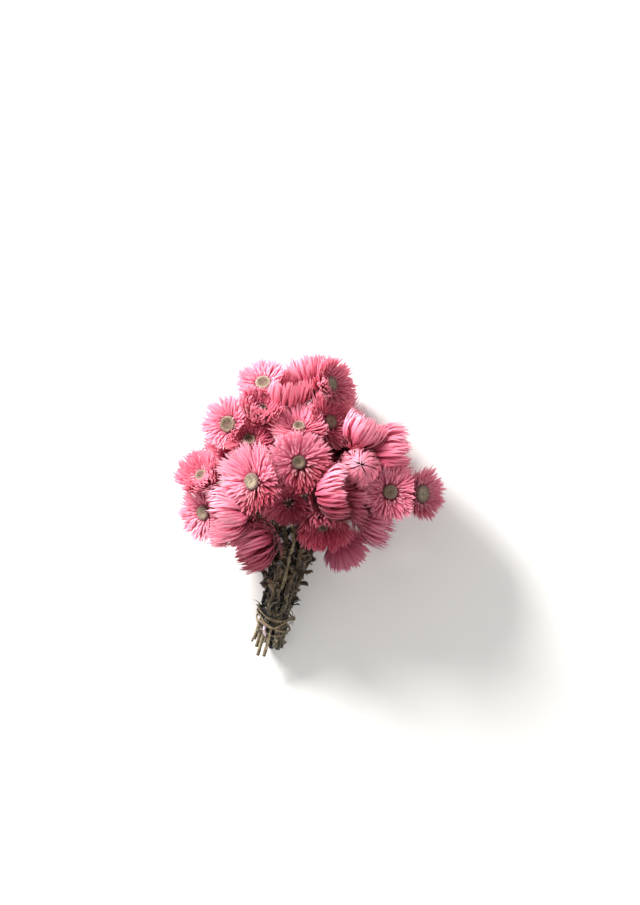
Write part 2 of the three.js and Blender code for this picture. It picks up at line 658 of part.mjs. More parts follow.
// The bare shoots and twigs come first, so that each leaf can be kept clear of all the others
const growth = routes.map((route) => {
  const start = route.isShoot ? SHOOT_RADIUS : TWIG_RADIUS;
  const solid = solidOf(tube(route.curve, start, TWIG_RADIUS, FACET_TURNS[route.stemName] ?? FACET_TURN));
  return { route, solid, box: solid.boundingBox() };
});
const leaves = [];
for (const shoot of growth) {
  const others = [...placed, ...growth, ...leaves].filter((other) => other !== shoot);
  for (const leaf of leavesOn(shoot.route, others)) {
    leaves.push({ ...leaf, route: shoot.route });
  }
}
for (const stemName of Object.keys(STEMS)) {
  const isOwn = (part) => part.route.stemName === stemName;
  const [first, ...others] = growth.filter(isOwn);
  let stem = wholeBody(others.reduce((whole, part) => whole.add(part.solid), first.solid));
  for (const leaf of leaves.filter(isOwn)) {
    const leafier = wholeBody(stem.add(leaf.solid));
    // A leaf whose edge would just meet another edge is left off
    if (!isPinched(leafier.getMesh())) stem = leafier;
  }
  bunch.add(piece(stemName, geometryFrom(stem), woolly));
}

// The origin is on the table, under the middle of the bunch
const extent = new THREE.Box3().setFromObject(bunch);
const middle = extent.getCenter(new THREE.Vector3());
bunch.position.set(-middle.x, -middle.y, -extent.min.z);

export default bunch;
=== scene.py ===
# A bunch of dried pink cape flowers, lying tied on a pale floor. Lengths are worked out in millimetres in
# the part's working coordinates (+X right, +Y towards the blooms, +Z up from the table) and turned into
# metres in the frame at the end.
import math

import bpy
import numpy as np
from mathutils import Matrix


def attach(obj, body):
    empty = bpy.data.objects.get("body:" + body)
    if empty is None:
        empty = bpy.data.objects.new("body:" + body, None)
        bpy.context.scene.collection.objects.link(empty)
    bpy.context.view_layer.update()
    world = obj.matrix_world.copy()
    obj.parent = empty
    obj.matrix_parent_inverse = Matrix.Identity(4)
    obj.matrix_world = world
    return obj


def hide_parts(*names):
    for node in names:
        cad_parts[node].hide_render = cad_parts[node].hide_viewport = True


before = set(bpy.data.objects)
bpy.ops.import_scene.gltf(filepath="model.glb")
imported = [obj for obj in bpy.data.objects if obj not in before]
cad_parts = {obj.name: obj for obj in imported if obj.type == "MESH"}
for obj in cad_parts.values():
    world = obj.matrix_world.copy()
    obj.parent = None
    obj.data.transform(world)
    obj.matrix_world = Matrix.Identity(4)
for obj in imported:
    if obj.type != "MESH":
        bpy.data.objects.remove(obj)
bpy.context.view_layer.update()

SHIFT = np.array([1.08313, -2.64422, 0.0])  # from working coordinates to the frame, mm
MM = 0.001
FAR = 1e9
SEAT_GAP = 0.3
STEM_GAP = 0.6
BRACT_GAP = 0.5
FLOOR_GAP = 0.4
SHOOT_RADIUS = 2.8
TWIG_RADIUS = 1.5
PEDUNCLE = 14
PEDUNCLE_NECK = 3
FACING_DOWN = -0.3
CUT_END_SHARE = 0.4
CROWDED_FROM = 0.88
HEAD_NEIGHBOUR = 1.35
STEM_NEIGHBOUR = 1.7
HEART_DEPTH = 0.06
DISC_HEIGHT = 2.6
STRAND_RADIUS = 0.95
ROW_HEIGHT = math.sqrt(3) / 2
GOLDEN_ANGLE = math.pi * (3 - math.sqrt(5))
UP = np.array([0.0, 0.0, 1.0])

# name: seat, turn, tilt, radius, open
HEADS = {
    "01": ((-47, 124, 80), 100, 34, 30, 0.95),
    "02": ((1, 129, 54), 99, 100, 28, 0.55),
    "03": ((21, 123, 86), 18, 53, 30, 0.85),
    "04": ((-82, 83, 84), 167, 28, 32, 1),
    "05": ((-48, 98, 92), 75, 42, 27, 0.65),
    "06": ((-11, 80, 104), 90, 42, 34, 0.88),
    "07": ((-11, 45, 127), -27, 6, 39, 0.97),
    "08": ((-57, 26, 121), 180, 34, 43, 1),
    "09": ((-109, 31, 80), 129, 42, 27, 0.7),
    "10": ((-107, -6, 72), 185, 37, 31, 0.95),
    "11": ((-77, -8, 96), 183, 73, 34, 0.45),
    "12": ((-53, -36, 83), 203, 80, 31, 0.3),
    "13": ((-61, 67, 86), 90, 30, 30, 0.8),
    "14": ((19, 14, 114), 6, 69, 32, 0.5),
    "15": ((13, -19, 92), -85, 42, 29, 0.7),
    "16": ((-21, 5, 84), -100, 20, 32, 0.85),
    "17": ((50, 40, 107), 78, 20, 25, 0.12),
    "18": ((49, 70, 92), 60, 86, 26, 0.45),
    "19": ((70, 54, 76), -4, 90, 33, 0.5),
    "20": ((80, 15, 96), 18, 12, 32, 0.95),
    "21": ((112, 13, 78), 0, 45, 29, 0.92),
    "22": ((58, -11, 71), -14, 84, 27, 0.5),
    "23": ((33, -40, 50), -59, 132, 28, 0.8),
    "24": ((20, 85, 84), 27, 42, 33, 0.85),
    "25": ((45, 7, 84), -7, 65, 28, 0.6),
    "26": ((29, 57, 78), -20, 22, 26, 0.85),
    "27": ((-24, 108, 76), 85, 72, 28, 0.5),
    "28": ((-84, 51, 66), 143, 40, 30, 0.8),
    "29": ((-84, 48, 23), 165, 102, 30, 0.6),
    "30": ((-42, 106, 24), 110, 102, 30, 0.6),
    "31": ((20, 104, 24), 75, 102, 30, 0.6),
    "32": ((78, 40, 24), 15, 102, 30, 0.6),
    "33": ((-66, -12, 22), 205, 104, 30, 0.5),
    "34": ((6, 28, 17), 60, 155, 30, 0.85),
    "35": ((-36, 62, 17), 110, 150, 29, 0.85),
}
UNDER = ("29", "30", "31", "32", "33", "34", "35")

# stem: shoots as slot in the bundle, fork, heads
STEMS = {
    "stem_top": [((0, 2), (-16, 4, 61), ("07", "16")), ((1, 2), (2, -14, 62), ("15", "14"))],
    "stem_upper_left": [((-1, 2), (-42, 14, 66), ("08", "13")), ((-1.5, 1), (-34, -30, 58), ("11", "12"))],
    "stem_left": [((-2, 0), (-72, -2, 46), ("10", "09")), ((-1, 0), (-62, 24, 48), ("04", "28"))],
    "stem_back": [((0.5, 1), (-11, 40, 52), ("06", "27")), ((-0.5, 1), (-38, 52, 56), ("01", "05"))],
    "stem_right": [((1.5, 1), (40, 10, 58), ("20", "17")), ((2, 0), (34, -4, 54), ("21", "25"))],
    "stem_low_right": [((1, -2), (22, -30, 54), ("22", "23")), ((1.5, -1), (44, 18, 44), ("19",))],
    "stem_back_right": [((0, 0), (2, 60, 50), ("03", "24", "02")), ((1, 0), (24, 34, 52), ("18", "26"))],
    "stem_under_left": [((-1.5, -1), (-48, 0, 30), ("29", "33")), ((-0.5, -1), (-36, 44, 32), ("30", "35"))],
    "stem_under_right": [((0.5, -1), (2, 44, 34), ("31", "34")), ((0, -2), (36, 8, 30), ("32",))],
}

# how much of a shoot's cut end is missing or, below nothing, longer, and how far it splays, mm, by slot
CUTS = {(-2, 0): 13, (-1.5, 1): 6, (-1, 2): -3, (0, 2): -4, (1, 2): 5, (-0.5, 1): 10, (-1, 0): 11,
        (-1.5, -1): 12, (-0.5, -1): 10, (2, 0): 4, (1.5, 1): 3}
SPLAY = {(-2, 0): -6.5, (-1.5, 1): -4.5, (-1, 2): -3.6, (0, 2): -3.4}
USUAL_SPLAY = -1.0

# the bundle's centre line, with the distance there from one stem to the next
BUNDLE = [((-43, -150, 12.4), 6.4), ((-37, -114, 22), 6.4), ((-28, -78, 34), 8), ((-19, -46, 46), 11)]

PROFILE_KEYS = "foot belly tip1 notch1 valley1 tip2 notch2 valley2 tip3 notch3 seat".split()
SHUT = [(0.12, 0), (0.84, 0.5), (0.78, 1.36), (0.98, 0.86), (0.74, 0.8), (0.42, 1.58), (0.7, 1.16),
        (0.5, 0.92), (0.12, 1.5), (0.36, 1.2), (0.2, 0.9)]
CUPPED = [(0.12, 0), (0.84, 0.42), (1.0, 1.16), (0.98, 0.72), (0.7, 0.56), (0.76, 1.34), (0.74, 0.84),
          (0.5, 0.54), (0.42, 1.08), (0.48, 0.76), (0.3, 0.46)]
SPREAD = [(0.12, 0), (0.42, 0.15), (1.0, 0.4), (0.58, 0.27), (0.34, 0.26), (0.88, 0.66), (0.46, 0.42),
          (0.27, 0.33), (0.5, 0.72), (0.34, 0.52), (0.225, 0.36)]

# how deep a head's colour is, from 0 pale to 1 crimson: partly how it was dyed, partly painted shade on heads
# that lie in shadow
DYE_AND_SHADE = {"usual": 0.45, "15": 0.9, "16": 0.65, "03": 0.55, "24": 0.6, "20": 0.5, "21": 0.5, "06": 0.3,
       "07": 0.35, "08": 0.2, "01": 0.2, "04": 0.25, "13": 0.55, "28": 0.6, "27": 0.5,
       "12": 0.6, "11": 0.05, "09": 0.15, "10": 0.2, "14": 0.75, "17": 0.5, "18": 0.2, "19": 0.7,
       "22": 0.3, "23": 0.35, "25": 0.5, "26": 0.5, "02": 0.25}
# how mauve it is: partly its own tint, partly painted shade on heads that lie in shadow
MAUVE = {"usual": 0.1, "12": 0.35, "14": 0.15, "19": 0.25, "20": 0.2, "21": 0.25, "22": 0.4, "23": 0.5,
         "25": 0.3}
# painted shade: how much deeper a head's colour is on its side to the lower right, and paler on the other
PAINTED_SIDE_SHADE = {"usual": 0.15, "07": 0.85, "08": 0.75, "14": 0.6, "19": 0.4, "12": 0.4, "06": 0.3, "04": 0.2,
        "01": 0.2}
# how far a head's bracts reach past the planes that part it from its neighbours
EASE = {"usual": 1.06, "16": 1.7, "15": 1.6, "25": 1.8, "24": 1.6, "13": 1.3, "05": 1.3, "28": 1.35,
        "26": 1.4, "22": 1.5, "09": 1.35, "10": 1.12, "27": 1.4, "12": 1.15}
# the share of their length that a head's bracts keep, and where, in degrees, and how much shorter they are
TRIM = {"usual": (1, 0, 0), "06": (1, 90, 0.16), "25": (1.2, 0, 0), "24": (1.12, 0, 0),
        "07": (0.88, -70, 0.08), "08": (1, -85, 0.26), "15": (1.04, -90, 0.26), "16": (1.02, -90, 0.34),
        "22": (1.12, 0, 0)}
# how far the innermost bracts lean in over the disc
COVER = {"usual": 0, "05": 1.3, "16": 1.3, "15": 0.6, "24": 0.5, "13": 0.5, "03": 0.55, "06": 0.6,
         "04": 0.5}
# how dark a disc is: partly its own colour, partly painted shade on discs that lie in shadow among the bracts
DEPTH_AND_SHADE = {"usual": 0.15, "07": 0.85, "20": 0.6, "21": 0.2, "04": 0.7, "24": 0.6, "03": 0.4, "09": 0.5,
         "06": 0.4, "13": 0.8, "15": 0.9, "16": 0.9, "05": 0.7}
# how far a disc is coloured as a hollow, its dark middle painted shade, and not as a button with a pale
# middle
BOWL_SHADE = {"usual": 0.1, "01": 0.85, "04": 0.8, "09": 0.85, "20": 0.35, "06": 0.85, "13": 1, "15": 1, "16": 1,
        "05": 1}
# the radius of each disc as it shows, in mm
DISC_RADII = {"01": 7.8, "04": 8.2, "07": 6.8, "08": 8.2, "09": 6.2, "10": 7.4, "20": 7.2, "21": 8.8,
              "06": 6.0, "03": 7.0, "24": 7.0, "05": 3.6, "13": 6.0, "15": 5.0, "16": 4.0}


def given(table, head):
    """What a table says of a head, or else what is usual."""
    return table.get(head["name"], table["usual"])


def unit(v):
    return v / np.linalg.norm(v)


def normalised(vectors, least=0.0):
    """Vectors made one long along the last axis. Least keeps one without a length from failing."""
    return vectors / (np.linalg.norm(vectors, axis=-1, keepdims=True) + least)


def directions(angle):
    """Level directions at some angles."""
    return np.stack([np.cos(angle), np.sin(angle), np.zeros_like(angle)], axis=-1)


def rotation_to(axis):
    """The smallest turn that brings +Z to the axis."""
    v = np.cross(UP, axis)
    c = float(axis[2])
    if c < -0.99999:
        return np.diag([1.0, -1.0, -1.0])
    k = np.array([[0, -v[2], v[1]], [v[2], 0, -v[0]], [-v[1], v[0], 0]])
    return np.eye(3) + k + k @ k / (1 + c)


def profile_of(opening):
    low, high, share = (SHUT, CUPPED, opening * 2) if opening < 0.5 else (CUPPED, SPREAD, opening * 2 - 1)
    low, high = np.array(low, float), np.array(high, float)
    return dict(zip(PROFILE_KEYS, low + (high - low) * share))


def stand(name):
    seat, turn, tilt, radius, opening = HEADS[name]
    turn, tilt = math.radians(turn), math.radians(tilt)
    profile = profile_of(opening)
    axis = np.array([math.sin(tilt) * math.cos(turn), math.sin(tilt) * math.sin(turn), math.cos(tilt)])
    seat = np.array(seat, float)
    foot = seat - axis * profile["seat"][1] * radius
    shares = np.array(list(profile.values()))
    reach = shares[:, 0].max() * radius
    half = shares[:, 1].max() * radius / 2
    upright = name not in UNDER and axis[2] > FACING_DOWN
    way = unit(axis + UP) if upright else axis
    return dict(name=name, profile=profile, axis=axis, seat=seat, foot=foot, centre=foot + axis * half,
                reach=reach, half=half, frame=rotation_to(axis), way=way, radius=radius, open=opening,
                disc=name in DISC_RADII, under=name in UNDER)


heads = {name: stand(name) for name in HEADS}


def catmull(points, per_stretch=24):
    """Points along the centripetal Catmull-Rom curve through some points."""
    points = np.array(points, float)
    ends = np.vstack([2 * points[0] - points[1], points, 2 * points[-1] - points[-2]])
    out = [points[0]]
    for i in range(1, len(ends) - 2):
        p0, p1, p2, p3 = ends[i - 1:i + 3]
        d0, d1, d2 = (max(np.linalg.norm(b - a) ** 0.5, 1e-4) for a, b in ((p0, p1), (p1, p2), (p2, p3)))
        m1 = ((p1 - p0) / d0 - (p2 - p0) / (d0 + d1) + (p2 - p1) / d1) * d1
        m2 = ((p2 - p1) / d1 - (p3 - p1) / (d1 + d2) + (p3 - p2) / d2) * d1
        for k in range(1, per_stretch + 1):
            t = k / per_stretch
            out.append(p1 + m1 * t + (-3 * p1 + 3 * p2 - 2 * m1 - m2) * t ** 2
                       + (2 * p1 - 2 * p2 + m1 + m2) * t ** 3)
    return np.array(out)


def resampled(line, step):
    """The line with points an even distance apart, and its length."""
    lengths = np.concatenate([[0], np.cumsum(np.linalg.norm(np.diff(line, axis=0), axis=1))])
    total = lengths[-1]
    ways = np.linspace(0, total, max(2, int(round(total / step)) + 1))
    return np.stack([np.interp(ways, lengths, line[:, k]) for k in range(3)], axis=1), total


def slot_at(station, slot):
    at, spacing = BUNDLE[station]
    return np.array(at, float) + spacing * np.array([slot[0], 0, slot[1] * ROW_HEIGHT])


def peduncle(head):
    end = head["foot"] - head["axis"] * SEAT_GAP
    neck = end - head["axis"] * PEDUNCLE_NECK
    return [neck + head["way"] * (PEDUNCLE_NECK - PEDUNCLE), neck, end]


def routes_of(stem):
    shoots = STEMS[stem]
    cut = slot_at(0, np.mean([s[0] for s in shoots], axis=0))
    routes = []
    for slot, fork, names in shoots:
        own = slot_at(0, slot)
        points = [cut + (own - cut) * CUT_END_SHARE] + [slot_at(k, slot) for k in (1, 2, 3)]
        fork = np.array(fork, float)
        points += [fork] + peduncle(heads[names[0]])
        routes.append(dict(stem=stem, head=names[0], line=catmull(points), shoot=True, slot=slot))
        for name in names[1:]:
            points = [fork] + peduncle(heads[name])
            routes.append(dict(stem=stem, head=name, line=catmull(points), shoot=False))
    return routes


routes = [route for stem in STEMS for route in routes_of(stem)]


def reach_along(head, way):
    along = float(way @ head["axis"])
    return math.sqrt(head["reach"] ** 2 * (1 - along ** 2) + head["half"] ** 2 * along ** 2)


def walls_of(head, heart):
    """The planes that part a head from its neighbours and from stems, as normals and distances."""
    normals, distances = [], []
    for other in heads.values():
        if other is head:
            continue
        way = other["centre"] - head["centre"]
        distance = np.linalg.norm(way)
        way = way / distance
        mine, theirs = reach_along(head, way), reach_along(other, way)
        if distance > (mine + theirs) * HEAD_NEIGHBOUR:
            continue
        share = distance * mine / (mine + theirs) - BRACT_GAP / 2
        normals.append(way)
        distances.append(way @ head["centre"] + share - way @ heart)
    for route in routes:
        line, total = resampled(route["line"], step=4)
        ways = np.linspace(0, total, len(line))
        radius = SHOOT_RADIUS if route["shoot"] else TWIG_RADIUS
        to = line - heart
        distance = np.linalg.norm(to, axis=1)
        near = distance < STEM_NEIGHBOUR * head["radius"]
        if route["head"] == head["name"]:
            near &= total - ways > PEDUNCLE
        for k in np.nonzero(near)[0]:
            normals.append(to[k] / distance[k])
            distances.append(distance[k] - radius - STEM_GAP)
    return np.array(normals), np.array(distances)


def pressed(points, heart, walls, ease):
    """Draws points back towards the heart where a wall is in the way. Ease moves the walls out a little."""
    way = points - heart
    length = np.linalg.norm(way, axis=1)
    way = way / length[:, None]
    drawn = length.copy()
    for normal, distance in zip(*walls):
        slope = way @ normal
        facing = slope > 1e-4
        room = np.where(facing, distance * ease / np.where(facing, slope, 1), FAR)
        past = (drawn / room - CROWDED_FROM) / (1 - CROWDED_FROM)
        squeezed = room * (CROWDED_FROM + (1 - CROWDED_FROM) * np.tanh(np.clip(past, 0, 20)))
        drawn = np.where(facing & (past > 0), squeezed, drawn)
    down = way[:, 2] < -1e-6
    floor = np.where(down, (FLOOR_GAP - heart[2]) / np.where(down, way[:, 2], -1), FAR)
    return heart + way * np.minimum(drawn, floor)[:, None]


def placed(name, data):
    """A new object, linked to the scene."""
    made = bpy.data.objects.new(name, data)
    bpy.context.scene.collection.objects.link(made)
    return made


class Skin:
    """Collects the corners, faces and attributes of one piece."""

    def __init__(self):
        self.points, self.quads, self.tris, self.values = [], [], [], {}
        self.quad_normals, self.tri_normals = [], []
        self.count = 0

    def add(self, points, quads, tris, normals=None, **values):
        points = np.asarray(points, float).reshape(-1, 3)
        if normals is not None:
            self.quad_normals.append(normals[0].reshape(-1, 3))
            self.tri_normals.append(normals[1].reshape(-1, 3))
        self.quads.append(np.asarray(quads, int) + self.count)
        self.tris.append(np.asarray(tris, int) + self.count)
        self.points.append(points)
        for key, value in values.items():
            value = np.broadcast_to(np.asarray(value, float), (len(points),))
            self.values.setdefault(key, []).append(value)
        self.count += len(points)

    def build(self, name, material, nodes, slot):
        points = (np.concatenate(self.points) + SHIFT) * MM
        quads, tris = np.concatenate(self.quads), np.concatenate(self.tris)
        mesh = bpy.data.meshes.new(name)
        mesh.vertices.add(len(points))
        mesh.vertices.foreach_set("co", points.astype(np.float32).ravel())
        mesh.loops.add(quads.size + tris.size)
        corners = np.concatenate([quads.ravel(), tris.ravel()])
        mesh.loops.foreach_set("vertex_index", corners.astype(np.int32))
        starts = np.concatenate([np.arange(len(quads)) * 4, quads.size + np.arange(len(tris)) * 3])
        mesh.polygons.add(len(starts))
        mesh.polygons.foreach_set("loop_start", starts.astype(np.int32))
        mesh.update(calc_edges=True)
        for key, parts in self.values.items():
            made = mesh.attributes.new(key, "FLOAT", "POINT")
            made.data.foreach_set("value", np.concatenate(parts).astype(np.float32))
        mesh.polygons.foreach_set("use_smooth", np.ones(len(starts), bool))
        if self.quad_normals:
            mesh.normals_split_custom_set(np.concatenate(self.quad_normals + self.tri_normals))
        mesh.materials.append(material)
        piece = placed(name, mesh)
        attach(piece, "root")
        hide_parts(*nodes)


def blade_faces(blades, rings):
    """Quads and triangles of closed blades: rings of four corners each, a shut base and a tip point."""
    size = rings * 4 + 1
    quads, tris = [], []
    for ring in range(rings - 1):
        for side in range(4):
            a, b = ring * 4 + side, ring * 4 + (side + 1) % 4
            quads.append((a, b, b + 4, a + 4))
    last = (rings - 1) * 4
    for side in range(4):
        tris.append((last + side, last + (side + 1) % 4, size - 1))
    quads.append((3, 2, 1, 0))
    starts = (np.arange(blades) * size)[:, None, None]
    return (np.array(quads)[None] + starts).reshape(-1, 4), (np.array(tris)[None] + starts).reshape(-1, 3)


def blade_points(centres, sides, normals, widths, thickness, cup):
    """Corners of lens-shaped closed blades. centres, sides and normals are (blades, rings + 1, 3); the
    last ring is only a point. Corners run left edge, outer keel, right edge, inner keel."""
    half = widths[..., None] / 2
    lift = normals * (cup * widths)[..., None]
    thick = normals * (thickness / 2)[..., None]
    left = centres - sides * half + lift
    right = centres + sides * half + lift
    rings = np.stack([left, centres - thick, right, centres + thick], axis=2)
    blades = len(centres)
    body = rings[:, :-1].reshape(blades, -1, 3)
    return np.concatenate([body, centres[:, -1:]], axis=1)


def blade_normals(sides, normals, round_off):
    """Shading normals for the faces of blades: each of the two broad sides is softly rounded across."""
    blades, rings = sides.shape[0], sides.shape[1] - 1
    # for each side of a blade: its broad side (-1 outer, 1 inner) and the edge at its first and second corner
    strips = ((-1, -1, 0), (-1, 0, 1), (1, 1, 0), (1, 0, -1))

    def corner(ring, broad, edge):
        return normalised(normals[:, ring] * broad + sides[:, ring] * edge * round_off)

    quads, tris = [], []
    for ring in range(rings - 1):
        for broad, first, second in strips:
            quads += [corner(ring, broad, first), corner(ring, broad, second),
                      corner(ring + 1, broad, second), corner(ring + 1, broad, first)]
    for broad, first, second in strips:
        tris += [corner(rings - 1, broad, first), corner(rings - 1, broad, second), corner(rings, broad, 0)]
    quads += [normals[:, 0]] * 4
    return np.stack(quads, axis=1), np.stack(tris, axis=1)


BRACT_STATIONS = np.array([0, 0.3, 0.56, 0.76, 0.9, 1.0])
BRACT_WIDTHS = np.array([0.6, 0.96, 1.0, 0.8, 0.42, 0.0])
GIVING_WAY = np.array([0, 0.5, 1, 1, 1, 1])  # how far each station moves for what is in the way
BRACT_WIDTH = 2.9
WIDER_BY = 1.0  # at most
BRACT_THICKNESS = 0.3
BRACT_CUP = 0.06
ROUNDED = 0.24  # how round a bract is shaded across
OWN_TWIST, CALM = 0.3, 0.7  # shares of a bract's own twist, and of none, in its shading
COLLAR = 34  # short bracts under a head
# how deep the colour of the collar bracts under a head is, from 0 pale to 1 crimson
COLLAR_DEEPNESS = 0.9
CLUMPED = 0.45  # how far bracts are drawn together into clumps
CLOSED_HEAD = "17"
CUP_BELOW = 0.6  # a head that is less open is a cup
HIDDEN_BRACTS = 160  # in a head that lies under the others
# by kind of head: bracts a mm of radius, their breadth, how much narrower the innermost are, and sway
KINDS = {"closed": (9, 1.55, 0.2, 0.2), "cup": (12, 0.95, 0.42, 0), "spread": (9.6, 1.0, 0.42, 0)}
ROW_KNOTS = [0, 0.5, 0.86, 1.0]  # from the outermost row to the innermost
# where the bracts of the closed head bend and end at those rows
CLOSED_MIDS = np.array([(1.04, 0.44), (0.97, 0.86), (0.66, 1.08), (0.24, 1.16)]) * 0.84
CLOSED_TIPS = np.array([(0.98, 1.04), (0.56, 1.28), (0.08, 1.32), (-0.34, 1.16)]) * 0.84
LOWER_RIGHT = np.array([0.5, -0.866, 0])
SHADE = 1.6  # how strongly a head's side to the lower right is shaded


def aims_of(head):
    """Where a head's bracts bend and end at the rows of ROW_KNOTS, out and up, as shares of its radius."""
    if head["name"] == CLOSED_HEAD:
        return CLOSED_MIDS, CLOSED_TIPS
    p = head["profile"]
    rim = DISC_RADII[head["name"]] / head["radius"] if head["disc"] else p["seat"][0]
    # the inner bracts of a spread head lie flatter than its solid's
    lying = np.clip((head["open"] - 0.7) / 0.25, 0, 1)
    tip2 = p["tip2"] * [1 + 0.05 * lying, 1 - 0.14 * lying]
    tip3 = p["tip3"] * [1 + 0.25 * lying, 1 - 0.22 * lying]
    mids = [p["belly"], p["valley1"] * 0.55 + tip2 * 0.45, p["valley2"] * 0.55 + tip3 * 0.45,
            (rim * (1.06 + 0.12 * lying), p["seat"][1] + 0.06)]
    tips = [p["tip1"], tip2, tip3, (rim * (1.5 - 1.2 * given(COVER, head)), p["seat"][1] + 0.11)]
    return np.array(mids), np.array(tips)


def bracts(head, seed):
    """All the bracts of one head, in a golden spiral from the outermost row in to the disc."""
    rng = np.random.default_rng(seed)
    p, radius = head["profile"], head["radius"]
    kind = "closed" if head["name"] == CLOSED_HEAD else "cup" if head["open"] < CUP_BELOW else "spread"
    per_mm, breadth, narrowing, swaying = KINDS[kind]
    rows = HIDDEN_BRACTS if head["under"] else int(per_mm * radius)
    count = rows + COLLAR
    index = np.arange(count)
    row = np.clip((index - COLLAR + 0.5) / rows, 0, 1)
    angle = index * GOLDEN_ANGLE + rng.normal(0, 0.05, count)
    clumps, start = 7 + seed % 4, rng.random() * 6
    angle = angle + CLUMPED * np.sin(clumps * angle + start) / clumps
    mid, tip = (np.stack([np.interp(row, ROW_KNOTS, aims[:, k]) for k in (0, 1)], axis=1)
                for aims in aims_of(head))
    foot, seat = p["foot"], p["seat"] + [0.0, -0.02]
    if head["disc"]:
        seat[0] = (DISC_RADII[head["name"]] + 0.4) / radius
    base = foot + (seat - foot) * np.sqrt(row)[:, None]
    # a collar of short bracts under the head, round the top of its stalk
    share = np.linspace(0, 1, COLLAR)[:, None]
    base[:COLLAR] = [0.07, -0.04]
    tip[:COLLAR] = p["belly"] * (np.array([0.75, 0.1]) + share * [0.35, 0.5]) + [0.04, -0.06]
    mid[:COLLAR] = tip[:COLLAR] * [0.55, 0.2] + [0.02, -0.04]
    # bracts stand in clumps of slightly different length and slope
    lobes = (np.sin(angle * 5 + seed) * 0.5 - np.cos(clumps * angle + start + np.pi / 2) * 0.8) * 0.06
    length = 1 + lobes + np.clip(rng.normal(0, 0.055, count), -0.12, 0.09)
    kept, toward, cut = given(TRIM, head)
    that_way = directions(angle) @ head["frame"].T @ directions(math.radians(toward))
    length = length * np.where(row < 0.8, kept * (1 - cut * np.clip(that_way, 0, 1) ** 1.5), 1)
    slope = rng.normal(0, 0.03, count) + 0.5 * lobes
    out, up = ((tip - base) * length[:, None]).T
    cos, sin = np.cos(slope), np.sin(slope)
    tip = base + np.stack([out * cos - up * sin, out * sin + up * cos], axis=1)
    control = 2 * mid - (base + tip) / 2
    t = BRACT_STATIONS[None, :, None]
    plane = (1 - t) ** 2 * base[:, None] + 2 * t * (1 - t) * control[:, None] + t ** 2 * tip[:, None]
    plane = plane * radius
    turn = angle[:, None] + (rng.normal(0, 0.07, count) + swaying)[:, None] * BRACT_STATIONS ** 2
    outward = directions(turn)
    local = outward * plane[..., :1]
    local[..., 2] = plane[..., 1]
    centres = local @ head["frame"].T + head["foot"]
    heart = head["seat"] - head["axis"] * HEART_DEPTH * radius
    ease = np.repeat(given(EASE, head) + rng.uniform(-0.05, 0.07, count), centres.shape[1])
    moved = pressed(centres.reshape(-1, 3), heart, walls_of(head, heart), ease).reshape(centres.shape)
    centres = centres + (moved - centres) * GIVING_WAY[None, :, None]
    tangent = normalised(np.gradient(centres, axis=1), 1e-9)
    around = (outward[..., [1, 0, 2]] * [-1, 1, 1]) @ head["frame"].T
    twist = rng.normal(0, 0.13, count)[:, None, None] * t
    calm = normalised(np.cross(tangent, around), 1e-9)
    side = around * np.cos(twist) + calm * np.sin(twist)
    normal = normalised(np.cross(tangent, side), 1e-9)
    # the inner face of a bract looks to the head's axis
    inward = head["axis"] - 0.5 * (outward @ head["frame"].T)
    facing = (normal * inward).sum(axis=2)[:, 1:4].sum(axis=1)
    normal = normal * np.where(facing < 0, -1, 1)[:, None, None]
    calm = calm * np.sign((calm * normal).sum(axis=2, keepdims=True) + 1e-9)
    shading = normalised(normal * OWN_TWIST + calm * CALM)
    broad = (BRACT_WIDTH + WIDER_BY * rng.random(count)) * (1 - narrowing * row) * breadth
    widths = broad[:, None] * BRACT_WIDTHS
    thickness = np.broadcast_to(BRACT_THICKNESS * (1 - 0.8 * BRACT_STATIONS), widths.shape)
    points = blade_points(centres, side, normal, widths, thickness, BRACT_CUP)
    quads, tris = blade_faces(count, len(BRACT_STATIONS) - 1)
    along = np.append(np.repeat(BRACT_STATIONS[:-1], 4), 1.0)
    across = np.append(np.tile([-1.0, 0.0, 1.0, 0.0], len(BRACT_STATIONS) - 1), 0.0)
    # painted shade: bracts on a head's side to the lower right get a deeper colour and a darker tint, those
    # on the other side a paler colour
    aside = (outward[:, 2] @ head["frame"].T) @ LOWER_RIGHT * given(PAINTED_SIDE_SHADE, head)
    dye_and_shade = np.where(index < COLLAR, COLLAR_DEEPNESS, np.clip(given(DYE_AND_SHADE, head) + aside, 0, 1))
    each = dict(row=row, pick=rng.random(count), dye_and_shade=dye_and_shade, shade=np.clip(aside * SHADE, 0, 1))
    skin = Skin()
    skin.add(points, quads, tris, blade_normals(side, shading, ROUNDED), mauve=given(MAUVE, head),
             along=np.tile(along, count), across=np.tile(across, count),
             **{key: np.repeat(value, points.shape[1]) for key, value in each.items()})
    return skin


def lathe(outline, steps):
    """Points and faces of a shape turned round +Z from an outline that starts and ends on the axis."""
    outline = np.array(outline, float)
    rings = outline[1:-1]
    angles = 2 * np.pi * np.arange(steps) / steps
    points = [(0, 0, outline[0][1])]
    for out, up in rings:
        points += [(out * math.cos(a), out * math.sin(a), up) for a in angles]
    points.append((0, 0, outline[-1][1]))
    quads, tris = [], []
    for s in range(steps):
        n = (s + 1) % steps
        tris.append((0, 1 + n, 1 + s))
        for r in range(len(rings) - 1):
            a, b = 1 + r * steps + s, 1 + r * steps + n
            quads.append((a, b, b + steps, a + steps))
        last = 1 + (len(rings) - 1) * steps
        tris.append((len(points) - 1, last + s, last + n))
    return np.array(points), quads, tris


DISC_STATIONS = [0, 0.3, 0.6, 0.85, 1]  # as shares of a disc's radius
DISC_HEIGHTS = [0.3, 0.4, 0.75, 1.0, 0.6]  # as shares of its height
DISC_SIDES = 28
FLORETS = 150
FLORET_SIDES = 5
FLORET_TILT = 0.25
BRISTLES = 44
BRISTLE_HALF = 0.16  # half a bristle's width at its foot


